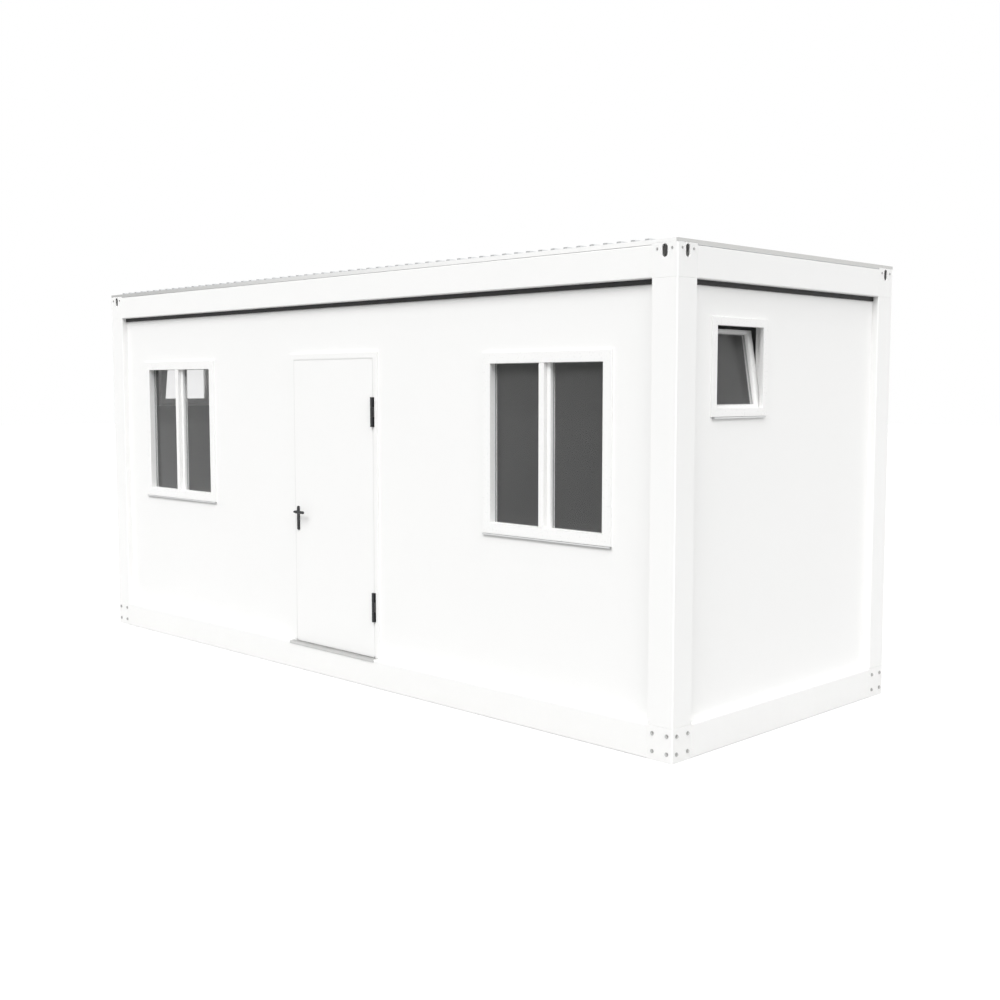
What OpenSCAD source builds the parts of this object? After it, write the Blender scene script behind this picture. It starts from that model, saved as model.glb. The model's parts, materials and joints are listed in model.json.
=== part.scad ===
// Container cabin: a welded steel frame with insulated panel walls, a ribbed steel roof,
// an outward-opening door, two front windows and a tilted window in each end.
// Origin at the centre of the footprint, on the ground. The door wall faces -Y.

/* [Frame] */
// Length of the frame along X
frame_length = 6000; // [5600:50:7000]
// Width of the frame along Y
frame_width = 2300; // [2200:10:2500]
// Height of the frame from the ground to the top of the roof beams
frame_height = 2800; // [2700:10:2900]
// Width of a corner post on each face
post_width = 174; // [150:1:190]
// Height of the base beams
base_height = 195; // [180:1:210]
// Height of the roof beams
eave_height = 177; // [160:1:190]
// Depth of the beams behind their faces
beam_depth = 120; // [115:1:140]
// Thickness of the folded steel
steel = 4; // [3:0.5:5]
// Thickness of the corner blocks' plates
block_plate = 8; // [6:1:10]
// How far the top corner blocks stand above the roof beams
corner_rise = 8; // [4:1:12]

/* [Walls] */
// How far the walls stand back from the frame's faces
wall_setback = 45; // [40:1:50]
// Thickness of a wall panel
wall_thickness = 60; // [60:1:65]
// Thickness of the ceiling panel
ceiling_thickness = 40; // [30:5:60]

/* [Floor] */
// Thickness of the floor board
deck_thickness = 22; // [18:1:25]
// Thickness of the vinyl floor covering
covering_thickness = 3; // [2:0.5:4]
// Height of a floor joist
joist_height = 100; // [80:5:120]
// Distance from one floor joist to the next
joist_pitch = 500; // [400:50:600]

/* [Roof] */
// Distance from one roof rib to the next
rib_pitch = 98; // [90:1:120]
// Height of a roof rib
rib_height = 35; // [28:1:40]
// Width of a rib at its foot
rib_foot = 54; // [45:1:60]
// Width of a rib at its crest
rib_crest = 30; // [20:1:36]
// Height of the trims around the edge of the roof
edge_trim_height = 26; // [20:1:27]
// Thickness of the roof sheet
roof_sheet_thickness = 1.5; // [1:0.5:2]

/* [Door] */
// Width of the door leaf
leaf_width = 880; // [800:5:940]
// Height of the door leaf
leaf_height = 2030; // [1950:5:2080]
// Thickness of the door leaf
leaf_thickness = 44; // [40:1:46]
// Width of the door frame's face
door_frame_face = 40; // [35:1:50]
// Gap between the leaf and the frame
leaf_gap = 7; // [6:0.5:8]
// Centre height of the lower hinge
low_hinge_height = 549; // [450:1:700]
// Centre height of the upper hinge
high_hinge_height = 1878; // [1600:1:1950]
// Length of a hinge
hinge_length = 200; // [150:1:240]
// Height of the lever above the ground
lever_height = 1150; // [1100:5:1300]

/* [Windows] */
// Distance of each front window's centre from the middle
front_window_offset = 2012; // [1700:1:2080]
// Clear width between a front window's casings
front_opening_width = 898; // [700:1:950]
// Clear height between a front window's casings
front_opening_height = 973; // [800:1:1050]
// Height of a front window's clear opening above the ground
front_opening_base = 1214; // [1150:1:1300]
// Centre of each end window along Y
end_window_y = -508; // [-600:1:600]
// Clear width between an end window's casings
end_opening_width = 454; // [400:1:500]
// Clear height between an end window's casings
end_opening_height = 460; // [400:1:470]
// Height of an end window's clear opening above the ground
end_opening_base = 1925; // [1800:5:1950]
// How far the end windows' sashes are tilted into the room, in degrees
end_sash_tilt = 9.5; // [3:0.5:12]

/* [Hidden] */
$fn = 48;

half_length = frame_length / 2;
half_width = frame_width / 2;
beam_base = frame_height - eave_height;

wall_outer_x = half_length - wall_setback;
wall_outer_y = half_width - wall_setback;
room_x = wall_outer_x - wall_thickness;
room_y = wall_outer_y - wall_thickness;
wall_height = beam_base - base_height;

// Floor: joists between the base beams, a sheet under them and a board on them.
joist_top = base_height - deck_thickness;
joist_base = joist_top - joist_height;
joist_width = 45;
joist_steel = 3;
joist_count = 2 * floor((half_length - beam_depth - joist_width) / joist_pitch) + 1;
underfloor_thickness = 2;
floor_gap = 2;

// Roof: an even number of ribs, with a valley in the middle and at each end.
eave_strip_thickness = 2;
sheet_y = half_width - eave_strip_thickness;
verge_foot = 22;
verge_top = 16;
trim_gap = 0.5;
rib_count = 2 * floor((half_length - verge_foot - rib_foot / 2) / rib_pitch + 0.5);

// Door: the leaf is flush with its frame, which stands a little proud of the wall.
proud = 12;
door_face_y = -wall_outer_y - proud;
leaf_base = base_height + 10;
stop_width = 15;
leaf_back_gap = 6;
rebate_x = leaf_width / 2 + leaf_gap;
door_frame_x = rebate_x + door_frame_face;
rebate_top = leaf_base + leaf_height + leaf_gap;
door_frame_top = rebate_top + door_frame_face;
threshold_plate = 4;
threshold_drop = 22;
threshold_short = 18;
stop_y = door_face_y + leaf_thickness + leaf_back_gap;

// Hinges: three knuckles on a pin in front of the gap at the leaf's right edge.
knuckle_radius = 10;
hinge_pin_radius = 5;
running_clearance = 0.05;
knuckle_gap = 1;
knuckle_length = (hinge_length - 2 * knuckle_gap) / 3;
hinge_x = leaf_width / 2 + leaf_gap / 2;
hinge_y = door_face_y - knuckle_radius - 1;
hinge_plate = 4;
hinge_plate_near = 12;
hinge_plate_far = 15;
hinge_heights = [low_hinge_height, high_hinge_height];

// Lever handle on a long plate, the same inside and outside.
lever_from_edge = 35;
lever_x = lever_from_edge - leaf_width / 2;
lever_length = 125;
lever_tall = 21;
lever_thick = 12;
lever_reach = 54;
neck_radius = 8;
spindle_radius = 6;
spindle_hole_radius = 12;
handle_plate_width = 27;
handle_plate_thickness = 8;
handle_plate_below = 135;
handle_plate_above = 40;

// Windows: a casing around the opening, a sash behind it and glass in the sash.
casing_thickness = 25;
sash_depth = 42;
sash_clearance = 2;
glass_thickness = 6;
glass_setback = 22;
sash_front = casing_thickness - proud;
glass_front = sash_front + glass_setback;
sill_height = 9;
sill_reach = 14;
front_casing = 67;
front_rebate = 40;
front_frame_wall = 12;
cover_strip = 43;
cover_strip_clearance = 1;
stile_gap = 0.5;
meeting_stile = 32;
end_casing = 47;
end_rebate = 25;
end_frame_wall = 15;
end_sill_inset = 18;
end_sash_side_show = 25;
end_sash_bottom_show = 17;
end_sash_head_gap = 13;
end_sash_top_rail = 23;
end_pane_width = end_opening_width - 2 * end_sash_side_show;
end_pane_height = end_opening_height - end_sash_bottom_show - end_sash_head_gap - end_sash_top_rail;

// Lifting slots: one upright slot in each outer face of a top corner.
slot_width = 38;
slot_length = 70;
slot_from_arris = 88;

// Puts a piece drawn from an outer arris at the origin into one corner of the footprint.
module at_corner(side_x, side_y) {
    translate([side_x * half_length, side_y * half_width, 0])
        mirror([side_x > 0 ? 1 : 0, 0, 0])
            mirror([0, side_y > 0 ? 1 : 0, 0])
                children();
}

// Turns a piece drawn along X at the front into the back, left or right one.
module at_long_side(side_y) {
    rotate([0, 0, side_y > 0 ? 180 : 0]) translate([0, -half_width, 0]) children();
}

module at_end(side_x) {
    rotate([0, 0, side_x > 0 ? 90 : -90]) translate([0, -half_length, 0]) children();
}

// A folded channel lying along X, its web at y = 0 and its flanges pointing to +Y.
module channel(length, depth, height, sheet) {
    translate([-length / 2, 0, 0])
        rotate([90, 0, 90])
            linear_extrude(length)
                difference() {
                    square([depth, height]);
                    translate([sheet, sheet]) square([depth, height - 2 * sheet]);
                }
}

module base_beam(length) {
    color("white") channel(length, beam_depth, base_height, steel);
}

module roof_beam(length) {
    color("white") translate([0, 0, beam_base]) channel(length, beam_depth, eave_height, steel);
}

module bottom_corner() {
    difference() {
        cube([post_width, post_width, base_height]);
        translate([block_plate, block_plate, block_plate])
            cube([post_width - 2 * block_plate, post_width - 2 * block_plate,
                  base_height - 2 * block_plate]);
    }
}

module bottom_corners() {
    color("white")
        for (side_x = [-1, 1], side_y = [-1, 1])
            at_corner(side_x, side_y) bottom_corner();
}

// A folded post: two faces, each turned back to meet the wall behind it.
module corner_post() {
    color("white")
        translate([0, 0, base_height])
            linear_extrude(wall_height)
                union() {
                    square([post_width, steel]);
                    square([steel, post_width]);
                    translate([post_width - steel, 0]) square([steel, wall_setback]);
                    translate([0, post_width - steel]) square([wall_setback, steel]);
                }
}

// An upright slot through one plate, drawn along +Y from the outer face.
module lifting_slot() {
    radius = slot_width / 2;
    top = frame_height + corner_rise - block_plate;
    low = top - slot_length + radius;
    high = top - radius;
    translate([slot_from_arris, -1, 0]) {
        for (z = [low, high])
            translate([0, 0, z]) rotate([-90, 0, 0]) cylinder(r = radius, h = block_plate + 2);
        translate([-radius, 0, low]) cube([slot_width, block_plate + 2, high - low]);
    }
}

module top_corner() {
    color("white")
        difference() {
            translate([0, 0, beam_base])
                cube([post_width, post_width, eave_height + corner_rise]);
            translate([block_plate, block_plate, beam_base + block_plate])
                cube([post_width - 2 * block_plate, post_width - 2 * block_plate,
                      eave_height + corner_rise - 2 * block_plate]);
            lifting_slot();
            mirror([1, -1, 0]) lifting_slot();
        }
}

// Outline inside the beams, cut back around the four corner blocks.
module floor_outline() {
    inner_x = half_length - beam_depth - floor_gap;
    inner_y = half_width - beam_depth - floor_gap;
    notch = post_width + floor_gap;
    difference() {
        square([2 * inner_x, 2 * inner_y], center = true);
        for (side_x = [-1, 1], side_y = [-1, 1])
            translate([side_x * half_length, side_y * half_width])
                square(2 * notch, center = true);
    }
}

module floor_deck() {
    color("tan")
        translate([0, 0, base_height - deck_thickness])
            linear_extrude(deck_thickness) floor_outline();
}

module floor_joists() {
    length = frame_width - 2 * steel;
    color("silver")
        for (i = [0 : joist_count - 1])
            translate([(i - (joist_count - 1) / 2) * joist_pitch - joist_width / 2, 0, joist_base])
                rotate([0, 0, -90]) channel(length, joist_width, joist_height, joist_steel);
}

module underfloor_sheet() {
    color("silver")
        translate([0, 0, joist_base - underfloor_thickness])
            linear_extrude(underfloor_thickness) floor_outline();
}

module floor_covering() {
    color("gray")
        translate([-room_x, -room_y, base_height])
            cube([2 * room_x, 2 * room_y, covering_thickness]);
}

module ceiling_panel() {
    color("white")
        translate([-room_x, -room_y, beam_base - ceiling_thickness])
            cube([2 * room_x, 2 * room_y, ceiling_thickness]);
}

// Cross-section of the ribbed sheet, from its left end to its right one.
function rib_centre(i) = (i - (rib_count - 1) / 2) * rib_pitch;

function sheet_line(z, shift) = concat(
    [[-half_length, z]],
    [for (i = [0 : rib_count - 1], corner = [0 : 3])
        let (side = corner < 2 ? -1 : 1, crest = corner == 1 || corner == 2)
        [rib_centre(i) + side * ((crest ? rib_crest : rib_foot) / 2 - shift),
         z + (crest ? rib_height - roof_sheet_thickness : 0)]],
    [[half_length, z]]);

function reversed(list) = [for (i = [len(list) - 1 : -1 : 0]) list[i]];

// Clears the roof's pieces above the four corner blocks, up to a height over the beams.
module corner_notches(height) {
    for (side_x = [-1, 1], side_y = [-1, 1])
        at_corner(side_x, side_y)
            translate([-1, -1, frame_height - 1])
                cube([post_width + 1, post_width + 1, height + 1]);
}

module roof_sheet() {
    color("lightgray")
        difference() {
            translate([0, sheet_y, frame_height])
                rotate([90, 0, 0])
                    linear_extrude(2 * sheet_y)
                        polygon(concat(
                            sheet_line(0, roof_sheet_thickness),
                            reversed(sheet_line(roof_sheet_thickness, 0))));
            corner_notches(rib_height + 1);
        }
}

// A folded trim along one end of the roof, lying on the sheet's last valley.
module verge_trim() {
    sheet = roof_sheet_thickness;
    height = edge_trim_height - sheet;
    run = sheet_y - trim_gap;
    translate([-run, -half_length, frame_height + sheet])
        rotate([90, 0, 90])
            linear_extrude(2 * run) {
                square([sheet, height]);
                square([verge_foot, sheet]);
                translate([0, height - sheet]) square([verge_top, sheet]);
            }
}

// A flat strip along one long edge of the roof, standing on the beam in front of the ribs.
module eave_strip() {
    translate([-half_length, -half_width, frame_height])
        cube([frame_length, eave_strip_thickness, edge_trim_height]);
}

module roof_edge_trims() {
    color("lightgray")
        difference() {
            union() {
                for (side_x = [-1, 1]) rotate([0, 0, side_x * 90]) verge_trim();
                for (side_y = [-1, 1]) rotate([0, 0, side_y > 0 ? 180 : 0]) eave_strip();
            }
            corner_notches(corner_rise);
        }
}

// A wall panel along X with its outer face at y = 0.
module wall_panel(low_x, high_x, low_z, high_z) {
    translate([low_x, 0, low_z]) cube([high_x - low_x, wall_thickness, high_z - low_z]);
}

module front_window_hole(side) {
    margin = front_rebate + front_frame_wall;
    translate([side * front_window_offset - front_opening_width / 2 - margin, -1,
               front_opening_base - margin])
        cube([front_opening_width + 2 * margin, wall_thickness + 2,
              front_opening_height + 2 * margin]);
}

module front_wall_side(side) {
    color("white")
        translate([0, -wall_outer_y, 0])
            difference() {
                wall_panel(side < 0 ? -wall_outer_x : door_frame_x,
                           side < 0 ? -door_frame_x : wall_outer_x, base_height, beam_base);
                front_window_hole(side);
            }
}

module front_wall_over_door() {
    color("white")
        translate([0, -wall_outer_y, 0])
            wall_panel(-door_frame_x, door_frame_x, door_frame_top, beam_base);
}

module back_wall() {
    color("white")
        translate([0, wall_outer_y - wall_thickness, 0])
            wall_panel(-wall_outer_x, wall_outer_x, base_height, beam_base);
}

// Places a piece drawn like a front wall piece on an end wall, at the end window.
module at_end_wall(side_x) {
    rotate([0, 0, side_x > 0 ? 90 : -90]) translate([0, -wall_outer_x, 0]) children();
}

module at_end_window(side_x) {
    at_end_wall(side_x) translate([side_x * end_window_y, 0, end_opening_base]) children();
}

module end_wall(side_x) {
    margin = end_rebate + end_frame_wall;
    color("white")
        difference() {
            at_end_wall(side_x) wall_panel(-room_y, room_y, base_height, beam_base);
            at_end_window(side_x)
                translate([-end_opening_width / 2 - margin, -1, -margin])
                    cube([end_opening_width + 2 * margin, wall_thickness + 2,
                          end_opening_height + 2 * margin]);
        }
}

// A rectangular ring around an opening whose lower edge is at z = 0.
module ring(width, height, inner_margin, outer_margin, low_y, high_y) {
    translate([0, high_y, 0])
        rotate([90, 0, 0])
            linear_extrude(high_y - low_y)
                difference() {
                    translate([-width / 2 - outer_margin, -outer_margin])
                        square([width + 2 * outer_margin, height + 2 * outer_margin]);
                    translate([-width / 2 - inner_margin, -inner_margin])
                        square([width + 2 * inner_margin, height + 2 * inner_margin]);
                }
}

// The casing lies on the wall's face; the frame behind it fills the hole and holds the sash.
module window_frame(width, height, casing, rebate, frame_wall) {
    step = casing_thickness - proud;
    ring(width, height, 0, casing, -proud, 0);
    ring(width, height, 0, rebate + frame_wall, 0, step);
    ring(width, height, rebate, rebate + frame_wall, step, wall_thickness);
}

module window_sill(length, casing) {
    translate([-length / 2, -sill_reach, -casing - sill_height])
        cube([length, sill_reach, sill_height]);
}

// Width of a front sash's bar in the middle of the window: side -1 is the left sash.
function middle_bar(side) = side < 0 ? cover_strip : meeting_stile;

// One of the two sashes of a front window. Only its bar in the middle shows.
module front_sash(side) {
    edge = front_rebate - sash_clearance;
    outer = front_opening_width / 2 + edge;
    mirror([side > 0 ? 1 : 0, 0, 0])
        difference() {
            translate([-outer, sash_front, -edge])
                cube([outer - stile_gap, sash_depth, front_opening_height + 2 * edge]);
            translate([-front_opening_width / 2, sash_front - 1, 0])
                cube([front_opening_width / 2 - middle_bar(side), sash_depth + 2,
                      front_opening_height]);
        }
}

// The left sash's bar reaches forward, flush with the casing.
module front_cover_strip() {
    translate([-cover_strip, -proud, cover_strip_clearance])
        cube([cover_strip - stile_gap, sash_front + proud,
              front_opening_height - 2 * cover_strip_clearance]);
}

module front_pane(side) {
    mirror([side > 0 ? 1 : 0, 0, 0])
        translate([-front_opening_width / 2, glass_front, 0])
            cube([front_opening_width / 2 - middle_bar(side), glass_thickness,
                  front_opening_height]);
}

module at_front_windows() {
    for (side = [-1, 1])
        translate([side * front_window_offset, -wall_outer_y, front_opening_base]) children();
}

module front_window_frames() {
    color("white")
        at_front_windows()
            window_frame(front_opening_width, front_opening_height, front_casing,
                         front_rebate, front_frame_wall);
}

module front_window_sashes() {
    color("white")
        at_front_windows() {
            front_sash(-1);
            front_cover_strip();
            front_sash(1);
        }
}

module front_window_glass() {
    color("dimgray") at_front_windows() for (side = [-1, 1]) front_pane(side);
}

module front_window_sills() {
    color("lightgray")
        at_front_windows()
            window_sill(front_opening_width + 2 * front_casing, front_casing);
}

module end_window_frames() {
    color("white")
        for (side_x = [-1, 1])
            at_end_window(side_x)
                window_frame(end_opening_width, end_opening_height, end_casing,
                             end_rebate, end_frame_wall);
}

// Leans a piece into the room about the sash's lower edge.
module tilted() {
    pivot = [0, sash_front + sash_depth, sash_clearance - end_rebate];
    translate(pivot) rotate([-end_sash_tilt, 0, 0]) translate(-pivot) children();
}

// The sash stops short of the frame's head.
module end_sash() {
    edge = end_rebate - sash_clearance;
    difference() {
        translate([-end_opening_width / 2 - edge, sash_front, -edge])
            cube([end_opening_width + 2 * edge, sash_depth,
                  end_opening_height - end_sash_head_gap + edge]);
        translate([-end_pane_width / 2, sash_front - 1, end_sash_bottom_show])
            cube([end_pane_width, sash_depth + 2, end_pane_height]);
    }
}

module end_window_sashes() {
    color("white") for (side_x = [-1, 1]) at_end_window(side_x) tilted() end_sash();
}

module end_window_glass() {
    color("dimgray")
        for (side_x = [-1, 1])
            at_end_window(side_x) tilted()
                translate([-end_pane_width / 2, glass_front, end_sash_bottom_show])
                    cube([end_pane_width, glass_thickness, end_pane_height]);
}

module end_window_sills() {
    color("lightgray")
        for (side_x = [-1, 1])
            at_end_window(side_x)
                window_sill(end_opening_width + 2 * (end_casing - end_sill_inset), end_casing);
}

// Door frame: two jambs and a head, with a stop behind the leaf.
module portal(half_opening, opening_top, face, low_y, high_y) {
    low_z = base_height + threshold_plate;
    difference() {
        translate([-half_opening - face, low_y, low_z])
            cube([2 * (half_opening + face), high_y - low_y, opening_top + face - low_z]);
        translate([-half_opening, low_y - 1, low_z - 1])
            cube([2 * half_opening, high_y - low_y + 2, opening_top - low_z + 1]);
    }
}

module door_frame() {
    color("white") {
        portal(rebate_x, rebate_top, door_frame_face, door_face_y, -room_y);
        portal(rebate_x - stop_width, rebate_top - stop_width, stop_width, stop_y, -room_y);
    }
}

// Folded plate over the base beam, with a lip down its face and an upstand behind the leaf.
// Its front part stops a little short of the hinge jamb's outer edge.
module threshold() {
    front_y = -half_width - threshold_plate;
    stop_x = rebate_x - stop_width;
    lip_length = 2 * door_frame_x - threshold_short;
    color("silver") {
        translate([-door_frame_x, door_face_y, base_height])
            cube([2 * door_frame_x, -room_y - door_face_y, threshold_plate]);
        translate([-door_frame_x, front_y, base_height])
            cube([lip_length, door_face_y + 1 - front_y, threshold_plate]);
        translate([-door_frame_x, front_y, base_height + threshold_plate - threshold_drop])
            cube([lip_length, threshold_plate, threshold_drop]);
        translate([-stop_x, stop_y, base_height])
            cube([2 * stop_x, -room_y - stop_y, threshold_plate + stop_width]);
    }
}

module door_leaf() {
    color("white")
        difference() {
            translate([-leaf_width / 2, door_face_y, leaf_base])
                cube([leaf_width, leaf_thickness, leaf_height]);
            translate([lever_x, door_face_y - 1, lever_height])
                rotate([-90, 0, 0]) cylinder(r = spindle_hole_radius, h = leaf_thickness + 2);
        }
}

module knuckle(low) {
    translate([0, 0, low]) cylinder(r = knuckle_radius, h = knuckle_length);
}

// One half of the flap: the part beside the knuckle, and the part that runs under it.
module hinge_flap(side, low, height) {
    face = knuckle_radius + 1 - hinge_plate;
    near = side > 0 ? hinge_plate_near : -hinge_plate_far;
    translate([near, face, -hinge_length / 2])
        cube([hinge_plate_far - hinge_plate_near, hinge_plate, hinge_length]);
    root = leaf_gap / 2;
    translate([side > 0 ? root : -hinge_plate_far, face, low])
        cube([hinge_plate_far - root, hinge_plate, height]);
}

module frame_hinges() {
    end_lows = [-hinge_length / 2, hinge_length / 2 - knuckle_length];
    color("black")
        for (z = hinge_heights)
            translate([hinge_x, hinge_y, z]) {
                for (low = end_lows) {
                    knuckle(low);
                    hinge_flap(1, low, knuckle_length);
                }
                translate([0, 0, -hinge_length / 2])
                    cylinder(r = hinge_pin_radius, h = hinge_length);
            }
}

module leaf_hinges() {
    color("black")
        for (z = hinge_heights)
            translate([hinge_x, hinge_y, z])
                difference() {
                    union() {
                        knuckle(-knuckle_length / 2);
                        hinge_flap(-1, -knuckle_length / 2, knuckle_length);
                    }
                    cylinder(r = hinge_pin_radius + running_clearance, h = hinge_length,
                             center = true);
                }
}

module handle_plates() {
    bore = neck_radius + running_clearance;
    color("black")
        for (low_y = [door_face_y - handle_plate_thickness, door_face_y + leaf_thickness])
            difference() {
                translate([lever_x - handle_plate_width / 2, low_y,
                           lever_height - handle_plate_below])
                    cube([handle_plate_width, handle_plate_thickness,
                          handle_plate_below + handle_plate_above]);
                translate([lever_x, low_y - 1, lever_height])
                    rotate([-90, 0, 0]) cylinder(r = bore, h = handle_plate_thickness + 2);
            }
}

// Both levers and the spindle between them turn as one piece.
module door_lever() {
    reach = lever_reach - lever_thick / 2;
    color("black")
        translate([lever_x, door_face_y + leaf_thickness / 2, lever_height]) {
            rotate([90, 0, 0])
                cylinder(r = spindle_radius, h = leaf_thickness, center = true);
            for (side = [-1, 1])
                mirror([0, side < 0 ? 1 : 0, 0])
                    translate([0, leaf_thickness / 2, 0]) {
                        rotate([-90, 0, 0]) cylinder(r = neck_radius, h = reach);
                        translate([0, lever_reach - lever_thick, 0]) {
                            rotate([-90, 0, 0]) cylinder(r = lever_tall / 2, h = lever_thick);
                            translate([0, 0, -lever_tall / 2])
                                cube([lever_length, lever_thick, lever_tall]);
                        }
                    }
        }
}

at_long_side(-1) base_beam(frame_length - 2 * post_width);  // base_beam_front
at_long_side(1) base_beam(frame_length - 2 * post_width);  // base_beam_back
at_end(-1) base_beam(frame_width - 2 * post_width);  // base_beam_left
at_end(1) base_beam(frame_width - 2 * post_width);  // base_beam_right
bottom_corners();
at_corner(-1, -1) corner_post();  // corner_post_front_left
at_corner(1, -1) corner_post();  // corner_post_front_right
at_corner(-1, 1) corner_post();  // corner_post_back_left
at_corner(1, 1) corner_post();  // corner_post_back_right
at_corner(-1, -1) top_corner();  // top_corner_front_left
at_corner(1, -1) top_corner();  // top_corner_front_right
at_corner(-1, 1) top_corner();  // top_corner_back_left
at_corner(1, 1) top_corner();  // top_corner_back_right
at_long_side(-1) roof_beam(frame_length - 2 * post_width);  // roof_beam_front
at_long_side(1) roof_beam(frame_length - 2 * post_width);  // roof_beam_back
at_end(-1) roof_beam(frame_width - 2 * post_width);  // roof_beam_left
at_end(1) roof_beam(frame_width - 2 * post_width);  // roof_beam_right
underfloor_sheet();
floor_joists();
floor_deck();
floor_covering();
ceiling_panel();
roof_sheet();
roof_edge_trims();
front_wall_side(-1);  // front_wall_left
front_wall_side(1);  // front_wall_right
front_wall_over_door();
back_wall();
end_wall(-1);  // left_end_wall
end_wall(1);  // right_end_wall
door_frame();
threshold();
frame_hinges();
door_leaf();
leaf_hinges();
handle_plates();
door_lever();
front_window_frames();
front_window_sashes();
front_window_glass();
front_window_sills();
end_window_frames();
end_window_sashes();
end_window_glass();
end_window_sills();
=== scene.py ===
import json
import math
from types import SimpleNamespace

import bmesh
import bpy
from mathutils import Matrix, Vector


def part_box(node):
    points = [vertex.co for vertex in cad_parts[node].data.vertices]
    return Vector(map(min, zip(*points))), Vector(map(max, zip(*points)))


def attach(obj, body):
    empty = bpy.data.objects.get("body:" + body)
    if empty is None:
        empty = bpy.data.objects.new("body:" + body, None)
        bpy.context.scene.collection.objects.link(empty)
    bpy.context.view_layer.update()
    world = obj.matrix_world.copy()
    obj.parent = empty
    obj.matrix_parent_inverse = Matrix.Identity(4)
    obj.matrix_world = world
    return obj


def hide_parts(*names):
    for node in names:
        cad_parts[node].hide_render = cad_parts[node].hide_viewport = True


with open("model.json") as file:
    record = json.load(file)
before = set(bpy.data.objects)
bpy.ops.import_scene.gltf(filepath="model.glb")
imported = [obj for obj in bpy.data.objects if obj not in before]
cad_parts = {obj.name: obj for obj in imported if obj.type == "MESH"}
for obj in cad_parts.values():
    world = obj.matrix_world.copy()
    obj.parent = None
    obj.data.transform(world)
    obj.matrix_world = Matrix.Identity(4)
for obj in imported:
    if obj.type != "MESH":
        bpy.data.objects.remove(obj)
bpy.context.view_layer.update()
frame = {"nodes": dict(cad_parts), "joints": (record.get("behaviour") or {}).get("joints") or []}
nodes = frame["nodes"]
joints = {joint["name"]: joint for joint in frame["joints"]}
mm = 0.001
touch = 0.00002  # two points this near are the same one
sunk = 0.0002  # how far a bolt or lock is let into its face, so that no crack shows
print("frame loaded:", len(nodes), "nodes")


def hexColor(code):
    # sRGB hex to the linear values that the shaders take
    parts = [int(code[i:i + 2], 16) / 255 for i in (1, 3, 5)]
    return [p / 12.92 if p <= 0.04045 else ((p + 0.055) / 1.055) ** 2.4 for p in parts] + [1.0]


def perMm(size):
    return 1000 / size  # pattern scale for a feature of this size in millimetres


def inMetres(look):
    # A piece's sizes in metres, each named without its Mm
    return SimpleNamespace(**{key[:-2]: value * mm for key, value in look.items()
                              if key.endswith("Mm") and not isinstance(value, tuple)})


def addNode(tree, kind, settings=None, links=None):
    node = tree.nodes.new("ShaderNode" + kind)
    for key, value in (settings or {}).items():
        if isinstance(key, str) and hasattr(node, key):
            setattr(node, key, value)
        else:
            node.inputs[key].default_value = value
    for key, source in (links or {}).items():
        tree.links.new(source, node.inputs[key])
    return node


def startFinish(name, settings):
    material = bpy.data.materials.new(name)
    material.use_nodes = True
    tree = material.node_tree
    shader = tree.nodes["Principled BSDF"]
    for socket, value in settings.items():
        shader.inputs[socket].default_value = value
    return material, tree, shader


def linkFinish(tree, shader, color=None, gloss=None, surface=None):
    for socket, source in (("Base Color", color), ("Roughness", gloss), ("Normal", surface)):
        if source is not None:
            tree.links.new(source, shader.inputs[socket])


enamelPaint = {
    "color": "#F7F7F6",
    "shade": "#F5F5F4",  # where the film is a little thinner
    "cloudMm": 900,
    "dustColor": "#D9D4CA",
    "dust": 0.10,  # share of dust at the ground
    "dustTopM": 0.30,
    "fleckMm": 60,
    "peelMm": 7,  # real orange peel is about 2 mm, drawn coarser so that it shows
    "peelDepthMm": 0.02,
    "roughness": (0.34, 0.44),
    "ior": 1.5,
}


def paintSteel(name, look):
    # Two-pack enamel sprayed on folded steel: a satin film with faint orange peel,
    # and a breath of dust where rain splashes the base.
    material, tree, shader = startFinish(name, {"IOR": look["ior"]})
    place = addNode(tree, "TexCoord").outputs["Object"]
    cloud = addNode(tree, "TexNoise", {"Scale": perMm(look["cloudMm"]), "Detail": 3.0}, {"Vector": place})
    film = addNode(tree, "Mix", {"data_type": "RGBA", 6: hexColor(look["color"]), 7: hexColor(look["shade"])},
                   {0: cloud.outputs[0]})
    height = addNode(tree, "SeparateXYZ", None, {0: place})
    splash = addNode(tree, "MapRange", {1: 0.0, 2: look["dustTopM"], 3: look["dust"], 4: 0.0},
                     {0: height.outputs["Z"]})
    fleck = addNode(tree, "TexNoise", {"Scale": perMm(look["fleckMm"]), "Detail": 5.0}, {"Vector": place})
    dusty = addNode(tree, "Math", {"operation": "MULTIPLY"}, {0: splash.outputs[0], 1: fleck.outputs[0]})
    coat = addNode(tree, "Mix", {"data_type": "RGBA", 7: hexColor(look["dustColor"])},
                   {0: dusty.outputs[0], 6: film.outputs[2]})
    peel = addNode(tree, "TexNoise", {"Scale": perMm(look["peelMm"]), "Detail": 1.0}, {"Vector": place})
    bump = addNode(tree, "Bump", {"Distance": look["peelDepthMm"] * mm}, {"Height": peel.outputs[0]})
    low, high = look["roughness"]
    gloss = addNode(tree, "MapRange", {1: 0.3, 2: 0.7, 3: low, 4: high}, {0: cloud.outputs[0]})
    linkFinish(tree, shader, coat.outputs[2], gloss.outputs[0], bump.outputs[0])
    return material


panelCoat = {
    "color": "#F7F7F6",
    "shade": "#F5F5F4",
    "lining": "#9B9D9C",  # the room side of the panels, kept dark as painted shade so the room reads dim behind the glass
    "liningDark": "#929493",
    "cloudMm": 1400,
    "waveMm": 420,  # slight waves of thin sheet on foam
    "waveDepthMm": 0.5,
    "grainMm": 8,  # real grain is about 1 mm, drawn coarser so that it shows
    "grainDepthMm": 0.03,
    "roughness": (0.40, 0.50),
    "ior": 1.48,
}


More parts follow.
